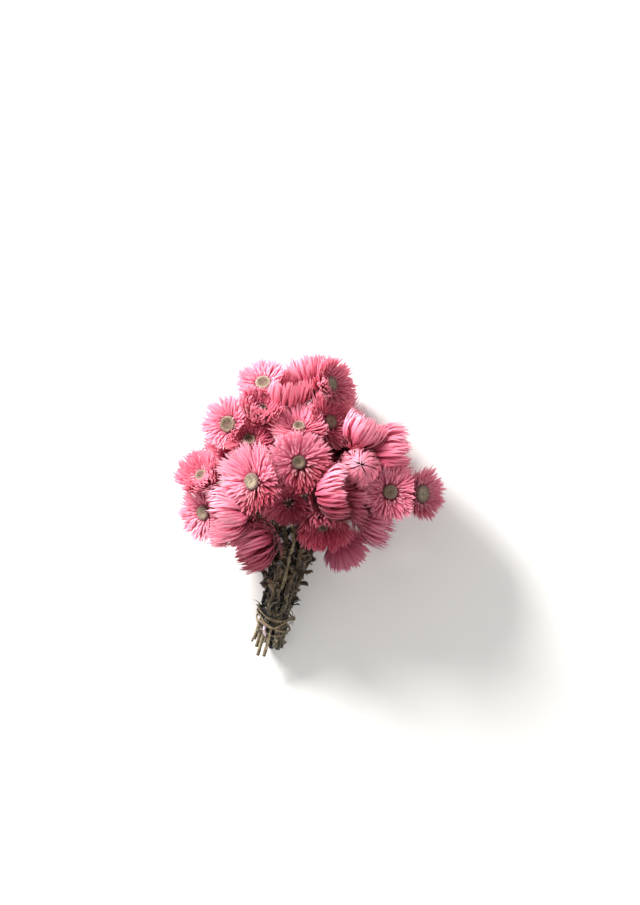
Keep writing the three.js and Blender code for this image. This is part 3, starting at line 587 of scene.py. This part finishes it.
def disc(head, seed):
    """A button of tiny florets with a dimple, and a ring of bristles round it."""
    rng = np.random.default_rng(1000 + seed)
    radius = DISC_RADII[head["name"]]
    origin = head["seat"] + head["axis"] * SEAT_GAP
    skin = Skin()

    def height(share):
        return DISC_HEIGHT * np.interp(share, DISC_STATIONS, DISC_HEIGHTS)

    def add(points, quads, tris, **values):
        skin.add(points @ head["frame"].T + origin, quads, tris, depth=given(DEPTH_AND_SHADE, head),
                 bowl=given(BOWL_SHADE, head), **values)

    outline = [(0, 0), (radius, 0)] + [(radius * share, height(share)) for share in reversed(DISC_STATIONS)]
    points, quads, tris = lathe(outline, DISC_SIDES)
    add(points, quads, tris, out=np.hypot(points[:, 0], points[:, 1]) / radius, pick=0.5, tip=0.0)
    for k in range(FLORETS):
        share = math.sqrt((k + 0.5) / FLORETS) * 0.97
        way = directions(k * GOLDEN_ANGLE)
        size = radius / math.sqrt(FLORETS) * (0.75 + 0.25 * rng.random())
        tall = size * (1.1 + 0.9 * rng.random())
        outline = [(0, -0.3), (size * 0.7, 0), (size * 0.75, tall * 0.6), (size * 0.35, tall),
                   (0, tall * 0.8)]
        bud, quads, tris = lathe(outline, FLORET_SIDES)
        bud[:, :2] += bud[:, 2:] * rng.normal(0, FLORET_TILT, 2)
        bud += radius * share * way + UP * (height(share) - 0.15)
        tip = np.clip((bud[:, 2] - height(share)) / max(tall, 0.1), 0, 1)
        add(bud, quads, tris, out=share, pick=rng.random(), tip=tip)
    for k in range(BRISTLES):
        way = directions(2 * math.pi * (k + rng.random() * 0.8) / BRISTLES)
        foot = way * radius * (1.0 + 0.05 * rng.random()) + UP * DISC_HEIGHT * 0.3
        top = foot + way * rng.uniform(-0.3, 0.9) + UP * rng.uniform(1.6, 3.2)
        side = np.cross(way, UP) * BRISTLE_HALF
        bristle = np.array([foot - side, foot + way * BRISTLE_HALF, foot + side, foot - way * 0.1, top])
        add(bristle, [(3, 2, 1, 0)], [(0, 1, 4), (1, 2, 4), (2, 3, 4), (3, 0, 4)], out=1.2,
            pick=rng.random(), tip=[0, 0, 0, 0, 1])
    return skin


STEM_SIDES = 8
TIE_SIDES = 6
UNEVEN = 0.05


def tube_skin(skin, line, radii, sides, seed, pale, **values):
    """A closed tube along a line, not twisted on its way, with a slightly uneven surface."""
    rng = np.random.default_rng(seed)
    tangent = normalised(np.gradient(line, axis=0))
    normal = unit(np.cross([0.3, 0.2, 1], tangent[0]))
    angles = (2 * np.pi * np.arange(sides) / sides)[:, None]
    rings = []
    for k in range(len(line)):
        normal = unit(normal - tangent[k] * (normal @ tangent[k]))
        other = np.cross(tangent[k], normal)
        radius = (radii[k] * (1 + rng.normal(0, UNEVEN, sides)))[:, None]
        rings.append(line[k] + np.cos(angles) * normal * radius + np.sin(angles) * other * radius)
    points = np.concatenate([np.concatenate(rings), line[:1], line[-1:]])
    count = len(line)
    quads, tris = [], []
    for s in range(sides):
        n = (s + 1) % sides
        for r in range(count - 1):
            a, b = r * sides + s, r * sides + n
            quads.append((a, b, b + sides, a + sides))
        tris.append((count * sides, n, s))
        tris.append((count * sides + 1, (count - 1) * sides + s, (count - 1) * sides + n))
    if np.ndim(pale):
        pale = np.append(np.repeat(pale, sides), [pale[0], pale[-1]])
    skin.add(points, quads, tris, pale=pale, **values)


LEAF_STATIONS = np.array([0, 0.2, 0.42, 0.64, 0.84, 1.0])
LEAF_WIDTHS = np.array([0.4, 0.85, 1.0, 0.96, 0.74, 0.0])
LEAF_THICKNESS = 0.6


def leaf_skin(skin, base, along, outward, length, width, spread, curl, rng, slant=0.0, **values):
    """A small woolly leaf: it leaves its stem, arches over and curls its edges in."""
    side = unit(np.cross(along, outward))
    along = along * math.cos(slant) + side * math.sin(slant)
    side = unit(np.cross(along, outward))
    t = LEAF_STATIONS
    lift = spread * (1.5 * t - 0.5 * t ** 2 + 0.6 * curl * t ** 3)
    forward = t - 0.4 * curl * t ** 3
    wobble = rng.normal(0, 0.04, len(t)) * length * t
    way = forward[:, None] * along + lift[:, None] * outward
    centres = base + length * way + wobble[:, None] * side
    tangent = normalised(np.gradient(centres, axis=0))
    normal = np.cross(side, tangent)
    roll = rng.normal(0, 0.5) * t[:, None]
    sides = side * np.cos(roll) + normal * np.sin(roll)
    normals = np.cross(sides, tangent)
    widths, thickness = width * LEAF_WIDTHS, np.full(len(t), LEAF_THICKNESS)
    cup = rng.uniform(-0.3, 0.42)
    points = blade_points(centres[None], sides[None], normals[None], widths[None], thickness[None], cup)
    quads, tris = blade_faces(1, len(t) - 1)
    skin.add(points, quads, tris, leaf=1.0, pick=rng.random(), **values)


def line_frame(line, way, total):
    """The point, tangent and a square pair of directions at a distance along an evenly spaced line."""
    place = way / total * (len(line) - 1)
    k = int(np.clip(place, 0, len(line) - 2))
    at = line[k] + (line[k + 1] - line[k]) * (place - k)
    tangent = unit(line[min(k + 1, len(line) - 1)] - line[max(k - 1, 0)])
    turn = rotation_to(tangent)
    return at, tangent, turn[:, 0], turn[:, 1]


SPLAY_REACH = 34  # how far up a shoot its cut end is moved
WAVES = ((23, 0.55), (41, 0.8))  # the crookedness of shoots: each wave's length and size, mm
UPWARD = 0.6  # how much of that shows in height


def own_line(route, cut, rng):
    """A route as it is drawn: a shoot keeps its own cut end, at a length of its own, and is crooked."""
    line = route["line"]
    if route["shoot"]:
        own = slot_at(0, route["slot"])
        own = own + np.array([SPLAY.get(route["slot"], USUAL_SPLAY), 0, 0])
        reach = np.linalg.norm(line - line[0], axis=1)
        line = line + np.clip(1 - reach / SPLAY_REACH, 0, 1)[:, None] * (own - line[0])
        line = line[reach > cut]
        if cut < 0:
            line = np.vstack([line[0] + unit(line[1] - line[0]) * cut, line])
    line, total = resampled(line, step=3)
    ways = np.linspace(0, total, len(line))
    middle = np.clip((ways - 10) / 40, 0, 1) * np.clip((total - PEDUNCLE - ways) / 20, 0, 1)
    for axis, share in enumerate((1, 1, UPWARD)):
        for length, size in WAVES:
            phase = rng.random() * 6.3
            line[:, axis] += middle * size * np.sin(ways * 2 * np.pi / length + phase) * share
    return line, total


SHOWN_SHOOT = ("stem_top", 0)  # the thick bare shoot in front of the others
SHOOT_FOOT, THICKER, SPLAYED_FOOT = 2.6, 0.5, 1.9  # radii at the foot, and what the shown shoot adds
LEAF_GAP = 8.6  # a corner of the solid stem that is farther from every shoot is the tip of a leaf
CUT_ENDS_BELOW = -140  # there corners belong to cut ends
SOLID_LEAF = 0.55  # a leaf's tip is so much of its length away from its shoot
FELTED_TO = 58  # how far up a shoot its leaves are small and felted, mm
CURLED_TO = 128  # and from there to where they are broad and curled


def stem_tubes(skin, name, seed, rng):
    """Adds the shoots and twigs of a stem, and returns each one's route, line, length and bareness."""
    lines = []
    for number, route in enumerate(r for r in routes if r["stem"] == name):
        line, total = own_line(route, CUTS.get(route.get("slot"), rng.uniform(2, 8)), rng)
        ways = np.linspace(0, total, len(line))
        bare = float((name, number) == SHOWN_SHOOT)
        splayed = route.get("slot") in SPLAY
        start = SPLAYED_FOOT if splayed else SHOOT_FOOT + THICKER * bare
        knots = 0.12 * np.maximum(0, np.sin(ways * 0.23 + 2 * number)) ** 8
        knots = 1 + 0.1 * np.sin(ways * 0.42 + number) + knots
        radii = np.linspace(start if route["shoot"] else TWIG_RADIUS, TWIG_RADIUS, len(line)) * knots
        near = np.clip(1 - (total - ways) / 30, 0, 1)
        warm = np.clip((ways - 45) / 40, 0, 1) if route["shoot"] else np.ones(len(ways))
        bareness = np.clip(warm * bare + 0.55 * splayed * np.clip((26 - ways) / 8, 0, 1), 0, 1)
        tube_skin(skin, line, radii, STEM_SIDES, seed * 50 + number, near * 0.6, leaf=0.0,
                  pick=rng.random(), warm=np.append(np.repeat(warm, STEM_SIDES), [0, 1]),
                  bare=np.append(np.repeat(bareness, STEM_SIDES), [0.5 * splayed, 0]))
        lines.append((route, line, total, bare))
    return lines


def solid_leaves(skin, name, lines, rng):
    """Adds the leaves of the solid stem, found by their tips."""
    found = []
    for corner in np.array([v.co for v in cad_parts[name].data.vertices]) * 1000 - SHIFT:
        gaps = [np.linalg.norm(line - corner, axis=1) for _, line, _, _ in lines]
        nearest = int(np.argmin([along.min() for along in gaps]))
        gap, k = gaps[nearest].min(), int(gaps[nearest].argmin())
        if gap < LEAF_GAP or corner[1] < CUT_ENDS_BELOW:
            continue
        if any(np.linalg.norm(corner - other) < 2 for other in found):
            continue
        found.append(corner)
        route, line, total, _ = lines[nearest]
        length = gap / SOLID_LEAF
        way = max(k / (len(line) - 1) * total - length * 0.95, 0)
        base, tangent, _, _ = line_frame(line, way, total)
        outward = corner - base
        outward = unit(outward - tangent * (outward @ tangent))
        leaf_skin(skin, base, tangent, outward, length * 0.86, 6.0, 0.46, 0.9, rng, pale=0.25, bare=0.0,
                  warm=float(way > 55 or not route["shoot"]))


def small_leaves(skin, lines, rng):
    """Adds the many leaves that clothe the stems: felted at the bundle, broad and curled above it."""
    for route, line, total, bare in lines:
        way = 22 if route.get("slot") in SPLAY else 3 if route["shoot"] else 5
        angle = rng.random() * 6
        while way < total - 9:
            base, tangent, one, other = line_frame(line, way, total)
            outward = one * math.cos(angle) + other * math.sin(angle)
            right = np.clip((base[0] + 10) / 20, 0, 1)
            some = rng.random()
            # length, width, spread and curl of the leaf, its slant, and the way to the next one
            if route["shoot"] and way < FELTED_TO:
                size = (7 + 5 * some, 2.8 + 2.2 * rng.random(), rng.uniform(0.15, 0.36), rng.uniform(0, 1.3))
                slant = rng.normal(0, 0.75)
                step = 2.3
            elif route["shoot"] and way < CURLED_TO:
                size = (9 + 6 * some, 4.8 + 3 * rng.random(), rng.uniform(0.25, 0.55), rng.uniform(0.7, 2.0))
                slant = rng.normal(0, 0.3)
                step = 4.0 + 9 * bare
            else:
                size = (7 + 4 * some, 2.6 + rng.random(), 0.42, rng.uniform(-0.2, 0.9))
                slant = 0.0
                step = 4.4
            leaf_skin(skin, base, tangent, outward, *size, rng, slant, bare=0.0,
                      pale=np.clip(0.15 + 0.5 * right + rng.normal(0, 0.15), 0, 1),
                      warm=np.clip((way - 50) / 30, 0, 1) if route["shoot"] else 1.0)
            way += step
            angle += GOLDEN_ANGLE


def stem(name, seed):
    """A forking stem with all its leaves."""
    rng = np.random.default_rng(2000 + seed)
    skin = Skin()
    lines = stem_tubes(skin, name, seed, rng)
    solid_leaves(skin, name, lines, rng)
    small_leaves(skin, lines, rng)
    if name == SHOWN_SHOOT[0]:
        # the stub of a side shoot, broken off with a knob
        line = catmull([(-28, -68, 50), (-32, -61, 54), (-36, -56, 55)], 6)
        radii = np.append(np.linspace(2.0, 1.5, len(line) - 3), [2.1, 2.2, 1.4])
        tube_skin(skin, line, radii, STEM_SIDES, 4000, 0.1, leaf=0.0, pick=0.8, warm=1.0, bare=0.8)
    return skin


WRAP_ROOM = 1.4  # between the outermost shoots and the wraps
# how far along the bundle each of the two wraps is, on its way round
WRAPS = (lambda a: 4 - 9 * max(0, math.sin(a)) ** 3, lambda a: -5.5 - 4 * math.cos(a))
PLIES = 3
TWISTS = 17
PLY_OUT = 0.5  # how far each ply is from its wrap's middle
# loose ends of grass that cross the cut stems in front: start, end and radius
GRASS = (((-40, -124, 31), (-46, -152, 24), 1.0), ((-46, -126, 28), (-53, -151, 20), 1.3),
         ((-52, -118, 24), (-60, -139, 14), 1.6))


def tie():
    """Two wraps of twisted grass round the bundle, with a knot and its loose ends."""
    skin = Skin()
    low, middle, high = (np.array(at, float) for at, _ in BUNDLE[:3])
    along = unit(high - low)
    right = unit(np.cross(along, UP))
    above = np.cross(right, along)
    across = 2 * BUNDLE[0][1] + SHOOT_RADIUS + STRAND_RADIUS + WRAP_ROOM
    look = dict(leaf=0.0, warm=0.1, bare=0.8, scrap=0.0)
    angles = np.linspace(0, 2 * np.pi, 97)
    rng = np.random.default_rng(77)
    seeds = iter(range(3001, 3100))

    def at(a, out, shift):
        return middle + right * out * math.cos(a) + above * out * math.sin(a) + along * shift

    def strand(line, radii, pick, pale=0.1):
        line = np.array(line)
        tube_skin(skin, line, radii * np.ones(len(line)), TIE_SIDES, next(seeds), pale, pick=pick, **look)

    for number, shift in enumerate(WRAPS):
        for ply in range(PLIES):
            line = []
            for a in angles:
                turn = a * TWISTS + ply * 2 * math.pi / PLIES
                out = across + PLY_OUT * math.cos(turn) + 0.5 * math.sin(5 * a + number)
                aside = shift(a) + PLY_OUT * math.sin(turn) + 0.6 * math.sin(3 * a + 2 * number)
                line.append(at(a, out, aside))
            strand(line, 0.55, 0.3 * ply)
    # thin loose strands that wander round beside them
    for number in range(4):
        shift, sag, lean = 9 - 5 * number, 3 + 5 * rng.random(), rng.normal(0, 3)
        strand([at(a, across + 0.3, shift - sag * max(0, math.sin(a)) ** 2 + lean * math.cos(a + number))
                for a in angles], 0.42, 0.25 * number)
    knot = middle + right * (across + 1.6) + along * 3
    for k in range(5):
        lean = unit(above * math.cos(k * 1.25) + along * math.sin(k * 1.25))
        loop = [knot + (right * math.cos(a) + lean * math.sin(a)) * 1.7
                for a in np.linspace(0, 2 * np.pi, 17)]
        strand(loop, 0.75, 0.2 * k, pale=0.2)
    for ends in ((0.5, -6, 2), (2, -3, -4), (1, 5, 2)):
        end = knot + right * ends[0] + along * ends[1] + above * ends[2]
        line = catmull([knot, knot + (end - knot) * 0.5 + above * 1.2, end], 8)
        strand(line, np.linspace(0.6, 0.3, len(line)), 0.4)
    for start, end, radius in GRASS:
        start, end = np.array((start, end), float)
        line = catmull([start, (start + end) / 2 + [0.8, 0, 1.0], end], 10)
        strand(line, np.linspace(radius, radius * 0.8, len(line)), 0.6)
    # a pale scrap of a bract, caught under the tie
    line = catmull([(-45, -119, 31), (-47, -126, 31), (-45.5, -133, 29)], 8)
    look["scrap"] = 1.0
    radii = 0.4 + 1.1 * np.sin(np.linspace(0.3, 2.9, len(line)))
    tube_skin(skin, line, radii, TIE_SIDES, 4100, 0.1, pick=0.6, **look)
    return skin


# Materials

def linear(*rgb):
    """A colour out of 255 as the renderer wants it."""
    return tuple(((c / 255 + 0.055) / 1.055) ** 2.4 if c > 10 else c / 255 / 12.92 for c in rgb) + (1.0,)


class Shader:
    """A small helper that adds nodes to a material."""

    def __init__(self, name):
        self.material = bpy.data.materials.new(name)
        self.material.use_nodes = True
        self.tree = self.material.node_tree
        self.bsdf = self.tree.nodes["Principled BSDF"]

    def node(self, kind, **settings):
        made = self.tree.nodes.new(kind)
        for key, value in settings.items():
            setattr(made, key, value)
        return made

    def link(self, source, target):
        self.tree.links.new(source, target)

    def attributes(self, *names):
        return [self.node("ShaderNodeAttribute", attribute_name=name).outputs["Fac"] for name in names]

    def fill(self, socket, value):
        """Gives a socket a number or a colour, or links it."""
        if isinstance(value, (int, float, tuple)):
            socket.default_value = value
        else:
            self.link(value, socket)

    def give(self, node, **values):
        """Fills a node's sockets by name, with _ for a space."""
        for key, value in values.items():
            self.fill(node.inputs[key.replace("_", " ")], value)

    def ramp(self, fac, *stops, plain=False):
        """Colours by place, each with its red, green and blue out of 255, or plain ones out of 1."""
        made = self.node("ShaderNodeValToRGB")
        elements = made.color_ramp.elements
        while len(elements) < len(stops):
            elements.new(0.5)
        for element, (at, *rgb) in zip(elements, stops):
            element.position = at
            element.color = (*rgb, 1.0) if plain else linear(*rgb)
        self.give(made, Fac=fac)
        return made.outputs["Color"]

    def maths(self, operation, one, other, clamp=False):
        made = self.node("ShaderNodeMath", operation=operation, use_clamp=clamp)
        self.fill(made.inputs[0], one)
        self.fill(made.inputs[1], other)
        return made.outputs[0]

    def times(self, one, other, clamp=False):
        return self.maths("MULTIPLY", one, other, clamp)

    def mix(self, fac, one, other, blend="MIX"):
        made = self.node("ShaderNodeMix", data_type="RGBA", blend_type=blend)
        sockets = {s.identifier: s for s in made.inputs}
        for key, value in (("Factor_Float", fac), ("A_Color", one), ("B_Color", other)):
            self.fill(sockets[key], value)
        return {s.identifier: s for s in made.outputs}["Result_Color"]

    def tinted(self, colour, tint):
        return self.mix(1.0, colour, tint, "MULTIPLY")

    def noise(self, scale, detail=3.0, vector=None, roughness=0.5):
        made = self.node("ShaderNodeTexNoise")
        if vector is None:
            vector = self.node("ShaderNodeTexCoord").outputs["Object"]
        self.give(made, Scale=scale, Detail=detail, Roughness=roughness, Vector=vector)
        return made.outputs["Fac"]

    def vector(self, *values):
        made = self.node("ShaderNodeCombineXYZ")
        for socket, value in zip(made.inputs, values):
            self.fill(socket, value)
        return made.outputs[0]

    def bump(self, height, strength, distance):
        made = self.node("ShaderNodeBump")
        self.give(made, Strength=strength, Distance=distance, Height=height)
        self.give(self.bsdf, Normal=made.outputs[0])


def bract_material():
    s = Shader("papery_bracts")
    along, across, pick, dye_and_shade = s.attributes("along", "across", "pick", "dye_and_shade")
    mauve, row, shade = s.attributes("mauve", "row", "shade")
    pale = s.ramp(along, (0.0, 236, 90, 132), (0.35, 250, 148, 180), (0.7, 255, 190, 208),
                  (1.0, 255, 214, 224))
    deep = s.ramp(along, (0.0, 168, 20, 56), (0.35, 212, 58, 96), (0.7, 236, 110, 142), (1.0, 246, 158, 178))
    # the colour deepens with how deeply a head was dyed and with painted shade; the mauve tint below is
    # partly painted shade too
    colour = s.mix(dye_and_shade, pale, deep)
    colour = s.mix(mauve, colour, s.tinted(colour, linear(225, 190, 220)))
    # painted shade: a darker tint on each head's side to the lower right
    colour = s.mix(shade, colour, s.tinted(colour, linear(196, 140, 150)))
    streaks = s.noise(1.0, 2.0, s.vector(s.times(across, 4.2), s.times(along, 1.3), s.times(pick, 80.0)))
    light = s.maths("ADD", s.times(streaks, 0.5), s.times(pick, 0.45))
    tone = s.ramp(light, (0.15, 0.88, 0.8, 0.84), (0.55, 1.0, 0.98, 0.99), (0.9, 1.06, 1.12, 1.09),
                  plain=True)
    colour = s.tinted(colour, tone)
    # painted glint: the tips of the innermost bracts are whitened
    inner = s.times(s.maths("SUBTRACT", row, 0.84, clamp=True), s.times(along, 3.2), clamp=True)
    colour = s.mix(inner, colour, linear(255, 220, 226))
    s.give(s.bsdf, Base_Color=colour, Roughness=0.5, Specular_IOR_Level=0.4, Sheen_Weight=0.25,
           Sheen_Roughness=0.4)
    s.bump(streaks, 0.35, 0.0004)
    # thin dry paper lets light through in its own colour
    through = s.node("ShaderNodeBsdfTranslucent")
    s.give(through, Color=s.mix(0.3, colour, (1.0, 1.0, 1.0, 1.0)))
    both = s.node("ShaderNodeMixShader")
    s.give(both, Fac=0.58)
    s.link(s.bsdf.outputs[0], both.inputs[1])
    s.link(through.outputs[0], both.inputs[2])
    s.give(s.tree.nodes["Material Output"], Surface=both.outputs[0])
    return s.material


def disc_material():
    s = Shader("button_florets")
    out, pick, tip, bowl, depth = s.attributes("out", "pick", "tip", "bowl", "depth")
    far = s.times(out, 0.8)
    # hollow: a dark middle, painted shade in the disc's hollow, paler to the rim; button: a small dark dot, a
    # pale middle and a dark ring
    hollow = s.ramp(far, (0.0, 92, 52, 46), (0.12, 140, 104, 92), (0.26, 112, 82, 66), (0.5, 134, 112, 94),
                    (0.7, 196, 184, 166), (0.82, 186, 134, 138), (0.95, 250, 225, 230))
    button = s.ramp(far, (0.0, 116, 84, 72), (0.1, 176, 158, 136), (0.22, 196, 186, 164),
                    (0.46, 186, 174, 154), (0.66, 150, 130, 114), (0.8, 120, 84, 80), (0.95, 238, 190, 200))
    colour = s.mix(bowl, button, hollow)
    # florets and bristles are darker at their feet and lighter at their tips, and some are darker than others
    # at random
    tip_and_pick = s.maths("ADD", s.times(pick, 0.6), s.times(tip, 0.4))
    colour = s.tinted(colour, s.ramp(tip_and_pick, (0.1, 0.5, 0.46, 0.42), (0.9, 1.15, 1.12, 1.08), plain=True))
    # darker, partly by a disc's own colour, partly by painted shade
    colour = s.mix(depth, colour, s.tinted(colour, linear(190, 172, 155)))
    s.give(s.bsdf, Base_Color=colour, Roughness=0.85, Sheen_Weight=0.3)
    s.bump(s.noise(900.0, 3.0), 0.5, 0.0003)
    return s.material


def stem_material():
    s = Shader("woolly_stems")
    leaf, pick, pale, warm, bare, scrap = s.attributes("leaf", "pick", "pale", "warm", "bare", "scrap")
    mottle = s.noise(260.0, 5.0, roughness=0.65)
    tone = s.maths("ADD", s.times(mottle, 0.65), s.times(pick, 0.35))
    # felt and brown: the stems' and leaves' own colours, darkened as painted shade for the shade the heads
    # cast over the stems
    felt = s.ramp(tone, (0.35, 16, 12, 7), (0.51, 58, 50, 34), (0.71, 146, 134, 106))
    brown = s.ramp(tone, (0.32, 18, 11, 7), (0.49, 68, 50, 32), (0.7, 138, 114, 80))
    beige = s.ramp(mottle, (0.3, 104, 90, 66), (0.5, 152, 136, 104), (0.7, 194, 180, 148))
    colour = s.mix(bare, s.mix(warm, felt, brown), beige)
    colour = s.mix(leaf, s.tinted(colour, linear(232, 228, 222)), colour)
    colour = s.mix(pale, colour, s.tinted(colour, linear(240, 186, 200)))
    colour = s.mix(scrap, colour, linear(232, 204, 220))
    s.give(s.bsdf, Base_Color=colour, Roughness=0.92, Sheen_Weight=0.3)
    s.bump(s.noise(1500.0, 4.0, roughness=0.7), 0.6, 0.0004)
    return s.material


bract_look, disc_look, stem_look = bract_material(), disc_material(), stem_material()

for name, head in heads.items():
    bracts(head, int(name)).build(f"head_{name}_bracts", bract_look, [f"bloom_{name}"], "bracts")
    if head["disc"]:
        disc(head, int(name)).build(f"head_{name}_florets", disc_look, [f"disc_{name}"], "disc")
for seed, name in enumerate(STEMS):
    stem(name, seed).build(f"{name}_leafy", stem_look, [name], "stem")
tie().build("tie_strands", stem_look, ["tie"], "tie")

# Floor, light and camera

FLOOR_HALF = 4.0  # half the floor's width, m
FLOOR_DROP = 0.0005  # how far it lies below the part
corners = [(x * FLOOR_HALF, y * FLOOR_HALF, -FLOOR_DROP) for x, y in ((-1, -1), (1, -1), (1, 1), (-1, 1))]
floor_mesh = bpy.data.meshes.new("floor")
floor_mesh.from_pydata(corners, [], [(0, 1, 2, 3)])
floor_look = Shader("pale_floor")
floor_look.give(floor_look.bsdf, Base_Color=linear(238, 236, 233), Roughness=0.9)
floor_mesh.materials.append(floor_look.material)
floor = placed("floor", floor_mesh)


def area_light(name, at, target, size, energy):
    data = bpy.data.lights.new(name, "AREA")
    data.energy = energy
    data.shape = "DISK"
    data.size = size
    light = placed(name, data)
    light.location = at
    way = np.subtract(target, at)
    down = math.acos(-way[2] / np.linalg.norm(way))
    light.rotation_euler = (down, 0, math.atan2(way[1], way[0]) - math.pi / 2)


area_light("key_light", (-0.95, 1.1, 0.72), (0, 0.03, 0.08), size=0.6, energy=84)
area_light("fill_light", (0.9, -0.5, 1.4), (0, 0, 0.08), size=1.2, energy=5)
WORLD_STRENGTH = 0.6
world = bpy.data.worlds.new("studio")
world.use_nodes = True
background = world.node_tree.nodes["Background"]
background.inputs["Color"].default_value = (1, 1, 1, 1)
background.inputs["Strength"].default_value = WORLD_STRENGTH
bpy.context.scene.world = world
bpy.context.scene.view_settings.view_transform = "Standard"

PHOTO_HEIGHT = 905  # of the photo's frame, at one millimetre a pixel
PHOTO_MIDDLE = (10, 54.5)  # in working coordinates, mm
CAMERA_HEIGHT = 3.0  # above the middle of the heads, m
HEADS_HEIGHT = 0.09
SENSOR = 24
camera_data = bpy.data.cameras.new("camera")
camera_data.sensor_fit = "VERTICAL"
camera_data.sensor_height = SENSOR
camera_data.lens = SENSOR * CAMERA_HEIGHT / (PHOTO_HEIGHT * MM)
camera_data.clip_start = 0.1
camera_data.clip_end = 20
camera = placed("camera", camera_data)
middle_x, middle_y = ((PHOTO_MIDDLE[k] + SHIFT[k]) * MM for k in (0, 1))
camera.location = (middle_x, middle_y, CAMERA_HEIGHT + HEADS_HEIGHT)
bpy.context.scene.camera = camera
